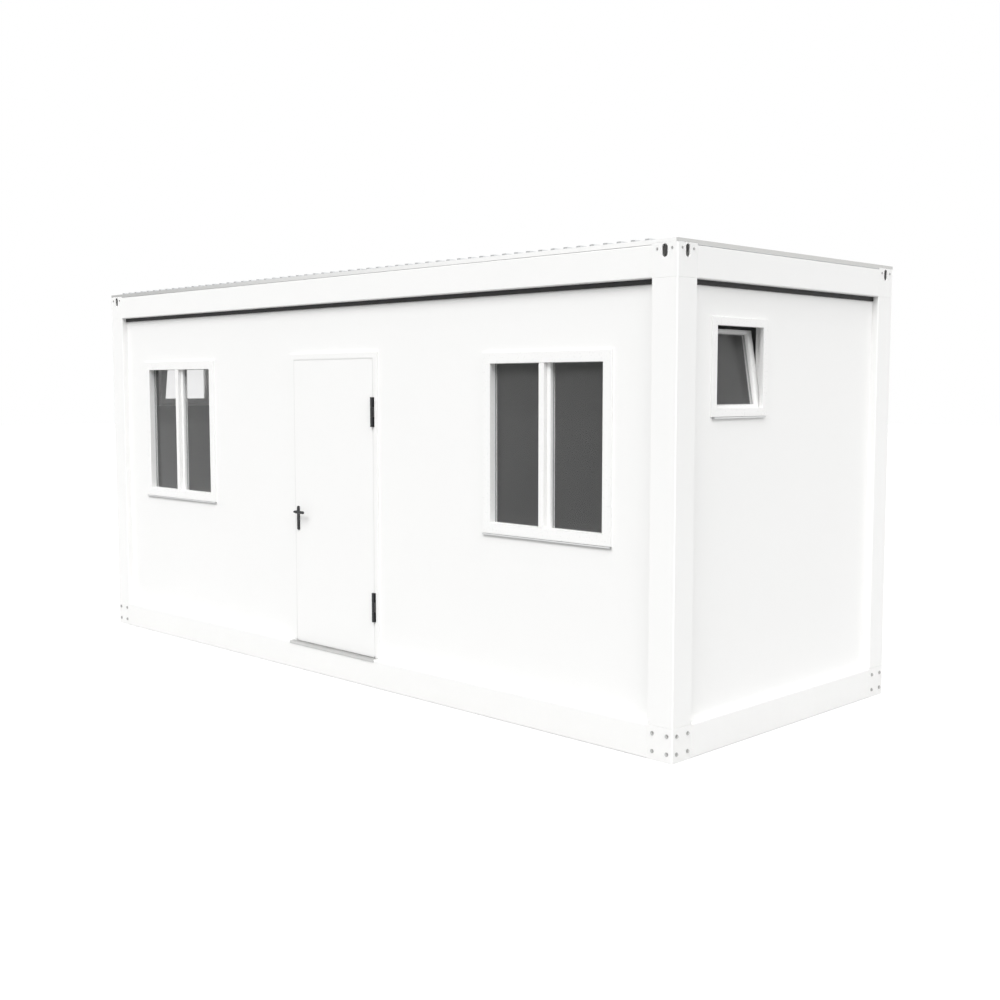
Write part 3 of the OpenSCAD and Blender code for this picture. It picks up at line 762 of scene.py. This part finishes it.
def fixRoof():
    low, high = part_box("roof_sheet")
    pitch = fixing.ribPitch
    valley = low.z + fixing.valley
    screws = bmesh.new()
    count = int(high.x / pitch)
    rows = [0.0]
    for edge in roofFixings["rowsFromEdgeMm"]:
        rows += [low.y + edge * mm, high.y - edge * mm]
    for i in range(-count + 1, count, roofFixings["everyValley"]):
        for row in rows:
            if not overBlock(i * pitch, row):
                addBolt(screws, (i * pitch, row, valley), (0, 0, 1), roofFixings)
    keepPiece("roof_screws", screws, "cabin", boltZinc)

    closures = bmesh.new()
    foot = closure.foot / 2
    crest = closure.crest / 2
    rib = [(-foot, closure.base), (foot, closure.base), (crest, closure.tall), (-crest, closure.tall)]
    for end in (-1, 1):
        front = end * (high.y - closure.setBack)
        for i in range(-count, count):
            centre = (i + 0.5) * pitch
            if not overBlock(abs(centre) + foot, front):
                outline = [(centre + x, front, low.z + z) for x, z in rib]
                extrudeOutline(closures, outline, (0, -end * closure.deep, 0))
    bmesh.ops.recalc_face_normals(closures, faces=closures.faces)
    keepPiece("rib_closures", closures, "cabin", ribFoam)


fixRoof()
print("walls, floor and roof finished")


frontWindow = {
    "widthMm": 898, "heightMm": 973,
    "casingMm": 67, "rebateMm": 40, "frameWallMm": 12,
    "coverMm": 43, "coverClearMm": 1, "coverEdgeMm": 2,  # the left sash's bar, flush with the casing
    "meetingMm": 32, "seamMm": 0.5,  # the right sash's bar, set back
    "sillInsetMm": 0, "beadMm": 6,
}
endWindow = {
    "widthMm": 454, "heightMm": 460,
    "casingMm": 47, "rebateMm": 25, "frameWallMm": 15,
    "sideShowMm": 25, "footShowMm": 17, "headGapMm": 13, "topRailMm": 23,
    "tiltDeg": 9.5,
    "sillInsetMm": 18, "beadMm": 9,
}
sashLook = {
    "frontMm": 13, "depthMm": 42, "clearMm": 2,
    "glassMm": 35, "paneMm": 6,
    "edgeMm": 2,
    "beadSlope": 1.4, "beadLipMm": 0.6, "beadFlatMm": 1,
    "gasketMm": 2.5, "gasketProudMm": 2,
}
casingLook = {"proudMm": 12, "easeMm": 3, "stepMm": 13, "wallMm": 60}
sillLook = {"reachMm": 14, "tallMm": 9, "sheetMm": 1.5, "noseMm": 2, "foldMm": 1, "fallMm": 1, "capMm": 4}
easeShare = 0.3  # an eased edge has one point between its ends, this share in from both faces


def grow(rect, margin):
    left, right, low, high = rect
    return left - margin, right + margin, low - margin, high + margin


def around(rect, outline):
    # (margin, depth) pairs as (rectangle, depth) pairs
    return [(grow(rect, margin), depth) for margin, depth in outline]


def addRing(bm, section):
    # A mitred rectangular frame: section is its outline as (rectangle, depth) pairs,
    # drawn out from one rectangle to the next and back to the first
    (left, right, low, high), depth = section[0]
    spots = [bm.verts.new((x, depth, z)) for x, z in ((left, low), (right, low), (right, high), (left, high))]
    edges = [bm.edges.new((spots[i - 1], spots[i])) for i in range(4)]
    middle = ((left + right) / 2, (low + high) / 2)
    for (left, right, low, high), depth in section[1:] + section[:1]:
        drawn = bmesh.ops.extrude_edge_only(bm, edges=edges)["geom"]
        edges = [part for part in drawn if isinstance(part, bmesh.types.BMEdge)]
        for spot in (part for part in drawn if isinstance(part, bmesh.types.BMVert)):
            acrossTo = right if spot.co.x > middle[0] else left
            upTo = high if spot.co.z > middle[1] else low
            spot.co = (acrossTo, depth, upTo)
        middle = ((left + right) / 2, (low + high) / 2)
    bmesh.ops.remove_doubles(bm, verts=bm.verts, dist=0.01)  # these rings are drawn in millimetres
    bmesh.ops.recalc_face_normals(bm, faces=bm.faces)


def frontPlaces():
    # Opening's foot in the wall face for each front window, with -Y looking out
    low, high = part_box("front_window_frames")
    across = high.x - (frontWindow["casingMm"] + frontWindow["widthMm"] / 2) * mm
    base = low.z + frontWindow["casingMm"] * mm
    return [Matrix.Translation((side * across, -wallFaceY, base)) for side in (-1, 1)]


def endPlaces():
    low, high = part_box("end_window_frames")
    base = low.z + endWindow["casingMm"] * mm
    middle = (low.y + high.y) / 2
    return [Matrix.Translation((side * wallFaceX, middle, base)) @ Matrix.Rotation(side * math.pi / 2, 4, "Z")
            for side in (-1, 1)]


def tilted(place):
    pivot = Vector((0, sashLook["frontMm"] + sashLook["depthMm"],
                    sashLook["clearMm"] - endWindow["rebateMm"])) * mm
    lean = Matrix.Rotation(-math.radians(endWindow["tiltDeg"]), 4, "X")
    return place @ Matrix.Translation(pivot) @ lean @ Matrix.Translation(-pivot)


def placeInto(bm, build, place):
    # Builds in millimetres at the window's own origin, then puts it in the wall
    part = bmesh.new()
    build(part)
    bmesh.ops.transform(part, matrix=place @ Matrix.Scale(mm, 4), verts=part.verts)
    scrap = bpy.data.meshes.new("scrap")
    part.to_mesh(scrap)
    part.free()
    bm.from_mesh(scrap)
    bpy.data.meshes.remove(scrap)


def opening(look):
    return -look["widthMm"] / 2, look["widthMm"] / 2, 0, look["heightMm"]


def casing(look):
    ease = casingLook["easeMm"]
    arc = ease * easeShare
    proud = casingLook["proudMm"]
    wide = look["casingMm"]
    rebate = look["rebateMm"]
    hole = rebate + look["frameWallMm"]
    step = casingLook["stepMm"]
    wall = casingLook["wallMm"]
    outline = [(0, ease - proud), (arc, arc - proud), (ease, -proud), (wide - ease, -proud),
               (wide - arc, arc - proud), (wide, ease - proud), (wide, 0), (hole, 0), (hole, wall),
               (rebate, wall), (rebate, step), (0, step)]
    return lambda bm: addRing(bm, around(opening(look), outline))


def sashRing(bm, outer, inner, bead):
    # A sash with a bead of this width sloping down to its glass
    front = sashLook["frontMm"]
    back = front + sashLook["depthMm"]
    edge = sashLook["edgeMm"]
    arc = edge * easeShare
    rim = [(-edge, front), (-arc, front + arc), (0, front + edge), (0, back - edge), (-edge, back)]
    glassSide = [(edge, back), (0, back - edge), (0, front + bead * sashLook["beadSlope"]),
                 (bead, front + sashLook["beadLipMm"]), (bead + sashLook["beadFlatMm"], front)]
    addRing(bm, around(outer, rim) + around(inner, glassSide))


def gasketRing(bm, inner):
    glass = sashLook["glassMm"]
    lip = sashLook["gasketMm"]
    proud = sashLook["gasketProudMm"]
    for face, out in ((glass, -proud), (glass + sashLook["paneMm"], proud)):
        addRing(bm, around(inner, [(0, face), (0, face + out), (-lip * 0.5, face + out),
                                   (-lip, face + out * easeShare), (-lip, face)]))


def frontSashRects(side):
    left, right, low, high = opening(frontWindow)
    reach = frontWindow["rebateMm"] - sashLook["clearMm"]
    seam = frontWindow["seamMm"]
    if side < 0:
        return (left - reach, -seam, low - reach, high + reach), (left, -frontWindow["coverMm"], low, high)
    return (seam, right + reach, low - reach, high + reach), (frontWindow["meetingMm"], right, low, high)


def endSashRects():
    left, right, low, high = opening(endWindow)
    reach = endWindow["rebateMm"] - sashLook["clearMm"]
    side = endWindow["sideShowMm"]
    top = high - endWindow["headGapMm"]
    return ((left - reach, right + reach, low - reach, top),
            (left + side, right - side, low + endWindow["footShowMm"], top - endWindow["topRailMm"]))


def coverStrip(bm):
    # The bar on the left sash that laps over the seam between the two
    clear = frontWindow["coverClearMm"]
    front = -casingLook["proudMm"]
    addBox(bm, (-frontWindow["coverMm"], front, clear),
           (-frontWindow["seamMm"], sashLook["frontMm"], frontWindow["heightMm"] - clear))
    upright = [e for e in bm.edges if e.calc_length() > 100 and all(v.co.y < front + 1 for v in e.verts)]
    bevelEdges(bm, upright, frontWindow["coverEdgeMm"], 3)


def sill(look):
    # A folded sheet with a fall to its nose and a plastic cap at each end
    half = look["widthMm"] / 2 + look["casingMm"] - look["sillInsetMm"]
    top = -look["casingMm"]
    reach = sillLook["reachMm"]
    foot = top - sillLook["tallMm"]
    sheet = sillLook["sheetMm"]
    nose = sillLook["noseMm"]
    fall = sillLook["fallMm"]
    fold = [(0, top), (nose - reach, top - fall), (-reach, top - nose - fall), (-reach, foot),
            (sheet - reach, foot), (sheet - reach, top - nose - fall),
            (nose - reach + sillLook["foldMm"], top - fall - sheet), (0, top - sheet)]
    end = [(0, top), (nose - reach, top - fall), (-reach, top - nose - fall), (-reach, foot), (0, foot)]

    def build(bm):
        for outline, starts, length in ((fold, (-half,), 2 * half),
                                        (end, (-half, half - sillLook["capMm"]), sillLook["capMm"])):
            for start in starts:
                spots = [(start, depth, height) for depth, height in outline]
                extrudeOutline(bm, spots, (length, 0, 0))
        bmesh.ops.recalc_face_normals(bm, faces=bm.faces)
    return build


def glazeWindows(kind, look, places, sashRects, sashName):
    # Both windows of one kind: casings, sashes, gaskets and sills
    casings = bmesh.new()
    sashes = bmesh.new()
    gaskets = bmesh.new()
    sills = bmesh.new()
    for place in places:
        placeInto(casings, casing(look), place)
        placeInto(sills, sill(look), place)
        hung = tilted(place) if "tiltDeg" in look else place
        for outer, inner in sashRects:
            placeInto(sashes, lambda bm: sashRing(bm, outer, inner, look["beadMm"]), hung)
            placeInto(gaskets, lambda bm: gasketRing(bm, inner), hung)
        if "coverMm" in look:
            placeInto(sashes, coverStrip, place)
    keepPiece(kind + "_casings", casings, "cabin", windowPlastic, [kind + "_frames"])
    keepPiece(f"{kind}_{sashName}", sashes, "cabin", windowPlastic, [kind + "_sashes"])
    keepPiece(kind + "_gaskets", gaskets, "cabin", paneRubber)
    keepPiece(kind + "_folded_sills", sills, "cabin", sillMetal, [kind + "_sills"])


glazeWindows("front_window", frontWindow, frontPlaces(), [frontSashRects(-1), frontSashRects(1)], "stiles")
glazeWindows("end_window", endWindow, endPlaces(), [endSashRects()], "tilted_sashes")
print("windows glazed")


doorLook = {
    "leafEdgeMm": 1.2,
    "frameEdgeMm": 1.2,
    "gapMm": 7,  # between leaf and frame
    "sealWideMm": 5.5,  # rubber on the rebate, seen in the gap
    "sealBackMm": 1,  # how far it stands behind the door's face
    "sealDeepMm": 12,
    "sweepTallMm": 4.4, "sweepBackMm": 0.3, "sweepDeepMm": 26, "sweepRoundMm": 1,  # under the leaf
    "treadEdgeMm": 1.2, "treadSheetMm": 4,
    "ridgeCount": 3, "treadShortMm": 18, "ridgeMm": 3, "ridgeTallMm": 0.6,
    "ridgeFromLipMm": 8, "ridgeStep": 2.6,  # ridge widths from one to the next
    "ridgeEndMm": 20, "ridgeSunkMm": 0.3, "ridgeRoundMm": 0.8,
}
door = inMetres(doorLook)


def hangDoor():
    leafLow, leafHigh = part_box("door_leaf")
    leaf = cadCopy("door_leaf")
    hull = lambda e: sum(liesOn(e, axis, value) for axis in range(3)
                         for value in (leafLow[axis], leafHigh[axis])) >= 2
    roundEdges(leaf, hull, doorLook["leafEdgeMm"], 3)
    keepPiece("door_leaf_skinned", leaf, "door", doorCoat, ["door_leaf"])

    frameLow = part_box("door_frame")[0]
    portal = cadCopy("door_frame")
    roundEdges(portal, lambda e: liesOn(e, 1, frameLow.y) and e.calc_length() > 0.1,
               doorLook["frameEdgeMm"], 3)
    keepPiece("door_frame_folded", portal, "cabin", doorCoat, ["door_frame"])

    front = leafLow.y + door.sealBack
    back = front + door.sealDeep
    seal = bmesh.new()
    outerX = leafHigh.x + door.gap
    outerZ = leafHigh.z + door.gap
    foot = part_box("threshold")[1].z
    for sign in (-1, 1):
        spanX = sorted((sign * outerX, sign * (outerX - door.sealWide)))
        addBox(seal, (spanX[0], front, foot), (spanX[1], back, outerZ - door.sealWide))
    addBox(seal, (-outerX, front, outerZ - door.sealWide), (outerX, back, outerZ))
    keepPiece("door_rebate_seal", seal, "cabin", doorRubber)

    sweep = bmesh.new()
    sweepFront = leafLow.y + door.sweepBack
    sweepLow = leafLow.z - door.sweepTall
    addBox(sweep, (leafLow.x + door.leafEdge, sweepFront, sweepLow),
           (leafHigh.x - door.leafEdge, sweepFront + door.sweepDeep, leafLow.z))
    roundEdges(sweep, lambda e: liesOn(e, 2, sweepLow), doorLook["sweepRoundMm"], 2)
    keepPiece("door_sweep_seal", sweep, "door", doorRubber)

    treadLow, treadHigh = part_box("threshold")
    tread = cadCopy("threshold")
    roundEdges(tread, lambda e: liesOn(e, 1, treadLow.y), doorLook["treadEdgeMm"], 3)
    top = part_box("base_beam_front")[1].z + door.treadSheet
    ridgeTop = top + door.ridgeTall
    start = treadLow.y + door.ridgeFromLip
    for i in range(doorLook["ridgeCount"]):
        low = start + i * doorLook["ridgeStep"] * door.ridge
        verts = addBox(tread, (treadLow.x + door.ridgeEnd, low, top - door.ridgeSunk),
                       (treadHigh.x - door.treadShort - door.ridgeEnd, low + door.ridge, ridgeTop))
        upper = [e for e in edgesOf(verts) if liesOn(e, 2, ridgeTop) and e.calc_length() > 0.1]
        bevelEdges(tread, upper, door.ridgeRound, 2)
    keepPiece("threshold_tread", tread, "cabin", treadMetal, ["threshold"])


hangDoor()

hingeLook = {
    "longMm": 200, "knuckleMm": 10, "gapMm": 1, "pinMm": 5, "pinShare": 0.98,
    "rimMm": 1.2,
    "flapNearMm": 3.5, "flapFarMm": 15, "flapSideMm": 12, "flapMm": 4, "flapBehindMm": 1,
    "flapRoundMm": 2,
}
hinge = inMetres(hingeLook)


def addFlap(bm, side, z, low, high):
    # The tall strip beside the knuckle and the tongue that runs under it
    back = hinge.knuckle + hinge.flapBehind
    face = back - hinge.flap
    half = hinge.long / 2
    centre = Vector((hingeAxis.x, hingeAxis.y, z))

    def span(near, far):
        return sorted((side * near, side * far))

    near, far = span(hinge.flapSide, hinge.flapFar)
    strip = addBox(bm, centre + Vector((near, face, -half)), centre + Vector((far, back, half)))
    tips = [e for e in edgesOf(strip)
            if all(abs(v.co.x - centre.x - side * hinge.flapFar) < touch for v in e.verts)
            and abs(e.verts[0].co.y - e.verts[1].co.y) > touch]
    bevelEdges(bm, tips, hinge.flapRound, 4)
    near, far = span(hinge.flapNear, hinge.flapSide)
    addBox(bm, centre + Vector((near, face, low)), centre + Vector((far, back, high)))


def addKnuckle(bm, z, low, high):
    place = Matrix.Translation((hingeAxis.x, hingeAxis.y, z))
    verts = addRod(bm, hinge.knuckle, low, high, 32, place)
    rims = [e for e in edgesOf(verts) if abs(e.verts[0].co.z - e.verts[1].co.z) < touch]
    bevelEdges(bm, rims, hinge.rim, 2)


hingeAxis = Vector(joints["door_swing"]["pos_m"])
hingeLow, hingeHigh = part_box("frame_hinges")
halfHinge = hinge.long / 2
halfPin = halfHinge * hingeLook["pinShare"]
hingeHeights = (hingeLow.z + halfHinge, hingeHigh.z - halfHinge)
knuckleTall = (hinge.long - 2 * hinge.gap) / 3

onFrame = bmesh.new()
onLeaf = bmesh.new()
for z in hingeHeights:
    for low in (-halfHinge, halfHinge - knuckleTall):
        addKnuckle(onFrame, z, low, low + knuckleTall)
        addFlap(onFrame, 1, z, low, low + knuckleTall)
    addRod(onFrame, hinge.pin, -halfPin, halfPin, 24,
           Matrix.Translation((hingeAxis.x, hingeAxis.y, z)))
    addKnuckle(onLeaf, z, -knuckleTall / 2, knuckleTall / 2)
    addFlap(onLeaf, -1, z, -knuckleTall / 2, knuckleTall / 2)
keepPiece("hinges_on_frame", onFrame, "cabin", blackFitting, ["frame_hinges"])
keepPiece("hinges_on_leaf", onLeaf, "door", blackFitting, ["leaf_hinges"])

handleLook = {
    "plateWideMm": 27, "plateEdgeMm": 1.5, "plateRound": 0.46,  # share of its width
    "screwInMm": 9, "screwMm": 3.2, "screwTopMm": 2.6, "screwTallMm": 0.9,
    "lockBelowMm": 92, "lockMm": 8.5, "lockProudMm": 3,
    "lockFootMm": 13, "lockFootWideMm": 10, "lockFootTallMm": 24,  # the lower part of the lock
    "spindleMm": 6, "neckMm": 8, "bendMm": 16, "bendSteps": 8,
    "collarMm": 10.5, "collarFromMm": 8.3, "collarTallMm": 4, "collarTop": 1.08,  # share of the neck
    "barTallMm": 21, "barThickMm": 12, "barLongMm": 125,
    "flattenMm": 12,  # over this length the round neck turns into the flat bar
    "tips": ((6, 0.86), (3, 0.72), (1, 0.5)),  # lengths in mm and how much each draws the end in
}
handle = inMetres(handleLook)


def pull(bm, cap, step, squeeze=(1, 1, 1), about=None):
    # Draws a flat end out by step, then scales it about a point
    end = bmesh.ops.extrude_discrete_faces(bm, faces=[cap])["faces"][0]
    bmesh.ops.translate(bm, vec=step, verts=end.verts)
    if about is not None:
        bmesh.ops.scale(bm, vec=squeeze, space=Matrix.Translation(-about), verts=end.verts)
    return end


def fitPlates():
    low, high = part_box("handle_plates")
    plates = bmesh.new()
    lock = bmesh.new()
    for side, face in ((-1, leafLow.y), (1, leafHigh.y)):
        outer = low.y if side < 0 else high.y
        spanY = sorted((face, outer))
        verts = addBox(plates, (low.x, spanY[0], low.z), (high.x, spanY[1], high.z))
        uprights = [e for e in edgesOf(verts) if abs(e.verts[0].co.y - e.verts[1].co.y) > touch]
        bevelEdges(plates, uprights, handle.plateWide * handleLook["plateRound"], 8)
        roundEdges(plates, lambda e: liesOn(e, 1, outer), handleLook["plateEdgeMm"], 2)
        out = (0, side, 0)
        for height in (low.z + handle.screwIn, high.z - handle.screwIn):
            addRod(plates, handle.screw, -sunk, handle.screwTall, 16,
                   aim((leverAxis.x, outer, height), out), top=handle.screwTop)
        lockHeight = leverAxis.z - handle.lockBelow
        addRod(lock, handle.lock, -sunk, handle.lockProud, 28, aim((leverAxis.x, outer, lockHeight), out))
        footHeight = lockHeight - handle.lockFoot
        middle = Vector((leverAxis.x, outer + side * handle.lockProud / 2, footHeight))
        step = Vector((handle.lockFootWide, handle.lockProud, handle.lockFootTall)) / 2
        addBox(lock, middle - step, middle + step)
    keepPiece("handle_plates_rounded", plates, "door", blackFitting, ["handle_plates"])
    keepPiece("lock_cylinder", lock, "door", lockBlack)


def fitLever():
    lever = bmesh.new()
    low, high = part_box("door_lever")
    halfLeaf = (leafHigh.y - leafLow.y) / 2
    addRod(lever, handle.spindle, -halfLeaf, halfLeaf, 24, aim(leverAxis, (0, 1, 0)))
    for side, face, tip in ((-1, leafLow.y, low.y), (1, leafHigh.y, high.y)):
        out = (0, side, 0)
        barMiddle = tip - side * handle.barThick / 2
        straight = abs(barMiddle - face) - handle.bend
        neck = addRod(lever, handle.neck, 0, straight, 28, aim((leverAxis.x, face, leverAxis.z), out))
        cap = [f for f in facesOf(neck) if f.normal.y * side > 0.9][0]
        centre = Vector((leverAxis.x + handle.bend, face + side * straight, leverAxis.z))
        turn = Matrix.Rotation(-side * math.pi / 2 / handleLook["bendSteps"], 3, "Z")
        for i in range(handleLook["bendSteps"]):
            cap = pull(lever, cap, (0, 0, 0))
            bmesh.ops.rotate(lever, cent=centre, matrix=turn, verts=cap.verts)
        grip = Vector((leverAxis.x + handle.bend, barMiddle, leverAxis.z))
        flat = (1, handle.barThick / 2 / handle.neck, handle.barTall / 2 / handle.neck)
        cap = pull(lever, cap, (handle.flatten, 0, 0), flat, grip)
        reach = leverAxis.x + handle.barLong
        tips = sum(length for length, squeeze in handleLook["tips"]) * mm
        cap = pull(lever, cap, (reach - tips - cap.calc_center_median().x, 0, 0))
        for length, squeeze in handleLook["tips"]:
            cap = pull(lever, cap, (length * mm, 0, 0), (1, squeeze, squeeze), grip)
        collarFoot = face + side * handle.collarFrom
        addRod(lever, handle.collar, 0, handle.collarTall, 28,
               aim((leverAxis.x, collarFoot, leverAxis.z), out), top=handle.neck * handleLook["collarTop"])
    bmesh.ops.remove_doubles(lever, verts=lever.verts, dist=touch)
    bmesh.ops.recalc_face_normals(lever, faces=lever.faces)
    keepPiece("lever_handles", lever, "lever", blackFitting, ["door_lever"])


leverAxis = Vector(joints["lever_turn"]["pos_m"])
leafLow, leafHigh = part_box("door_leaf")
fitPlates()
fitLever()
print("door hung")


studio = {
    "floorColor": "#9A9A9A", "floorRough": 0.9, "floorHalfM": 60,
    "floorDropMm": 0.8,  # just under the cabin's feet
    "floorGlow": 0.80,  # what the camera sees on top of the floor's own light
    "skyLight": 0.42,
    "keyAzimuth": 8, "keyHeight": 50, "keySoftness": 34, "keyStrength": 2.48,  # degrees, W/m2
    "sideAzimuth": 78, "sideHeight": 44, "sideSoftness": 45, "sideStrength": 1.68,
    "fillPlace": (7.0, 1.0, 0.35), "fillAim": (3.0, 0.3, 0.5), "fillSize": 1.6, "fillWatts": 15,
}
cameraView = {
    "place": (7.1148, -6.6081, 2.0379),
    "azimuth": 44.86,
    "pitch": -5.01,
    "lens": 45.92,
    "sensor": 36.0,
}


def addSoftbox(name, place, target, size, watts):
    lamp = bpy.data.lights.new(name, "AREA")
    lamp.shape = "SQUARE"
    lamp.size = size
    lamp.energy = watts
    box = addObject(name, lamp)
    box.matrix_world = Matrix.Translation(place) @ (
        Vector(target) - Vector(place)).to_track_quat("-Z", "Y").to_matrix().to_4x4()
    box.visible_camera = False
    box.visible_glossy = False
    box.visible_transmission = False


def addFarBox(name, azimuth, height, softness, strength):
    # A big distant softbox: even light over the whole length, with a soft shadow
    lamp = bpy.data.lights.new(name, "SUN")
    lamp.energy = strength
    lamp.angle = math.radians(softness)
    box = addObject(name, lamp)
    box.rotation_euler = (math.radians(90 - height), 0, math.radians(azimuth))
    box.visible_glossy = False


def inPlainSight(tree):
    # 1 for what the camera sees straight, mirrored or through glass, and 0 for bounced light
    path = addNode(tree, "LightPath")
    seen = addNode(tree, "Math", {"operation": "MAXIMUM"},
                   {0: path.outputs["Is Glossy Ray"], 1: path.outputs["Is Transmission Ray"]})
    unbounced = addNode(tree, "Math", {"operation": "LESS_THAN", 1: 0.5}, {0: path.outputs["Diffuse Depth"]})
    direct = addNode(tree, "Math", {"operation": "MULTIPLY"}, {0: seen.outputs[0], 1: unbounced.outputs[0]})
    white = addNode(tree, "Math", {"operation": "MAXIMUM"},
                    {0: direct.outputs[0], 1: path.outputs["Is Camera Ray"]})
    return white.outputs[0]


def buildStudio():
    scene = bpy.context.scene
    scene.view_settings.view_transform = "Standard"
    data = bpy.data.cameras.new("cabin_view")
    data.lens = cameraView["lens"]
    data.sensor_width = cameraView["sensor"]
    camera = addObject("cabin_view", data)
    camera.location = cameraView["place"]
    camera.rotation_euler = (math.radians(90 + cameraView["pitch"]), 0, math.radians(cameraView["azimuth"]))
    scene.camera = camera

    world = bpy.data.worlds.new("white_studio")
    scene.world = world
    world.use_nodes = True
    tree = world.node_tree
    lit = addNode(tree, "Background", {"Color": (1, 1, 1, 1), "Strength": studio["skyLight"]})
    shown = addNode(tree, "Background", {"Color": (1, 1, 1, 1), "Strength": 1.0})
    both = addNode(tree, "MixShader", None, {0: inPlainSight(tree), 1: lit.outputs[0], 2: shown.outputs[0]})
    tree.links.new(both.outputs[0], tree.nodes["World Output"].inputs["Surface"])

    ground = bmesh.new()
    bmesh.ops.create_grid(ground, x_segments=1, y_segments=1, size=studio["floorHalfM"])
    bmesh.ops.translate(ground, vec=(0, 0, -studio["floorDropMm"] * mm), verts=ground.verts)
    mesh = bpy.data.meshes.new("studio_floor")
    ground.to_mesh(mesh)
    ground.free()
    floor = addObject("studio_floor", mesh)
    material, tree, shader = startFinish("pale_studio_floor", {
        "Base Color": hexColor(studio["floorColor"]), "Roughness": studio["floorRough"],
        "Specular IOR Level": 0.0, "Emission Color": (1, 1, 1, 1)})
    glow = addNode(tree, "Math", {"operation": "MULTIPLY", 1: studio["floorGlow"]}, {0: inPlainSight(tree)})
    tree.links.new(glow.outputs[0], shader.inputs["Emission Strength"])
    mesh.materials.append(material)

    for name in ("key", "side"):
        addFarBox(name + "_softbox", studio[name + "Azimuth"], studio[name + "Height"],
                  studio[name + "Softness"], studio[name + "Strength"])
    addSoftbox("fill_softbox", studio["fillPlace"], studio["fillAim"], studio["fillSize"],
               studio["fillWatts"])


buildStudio()
print("studio lit")
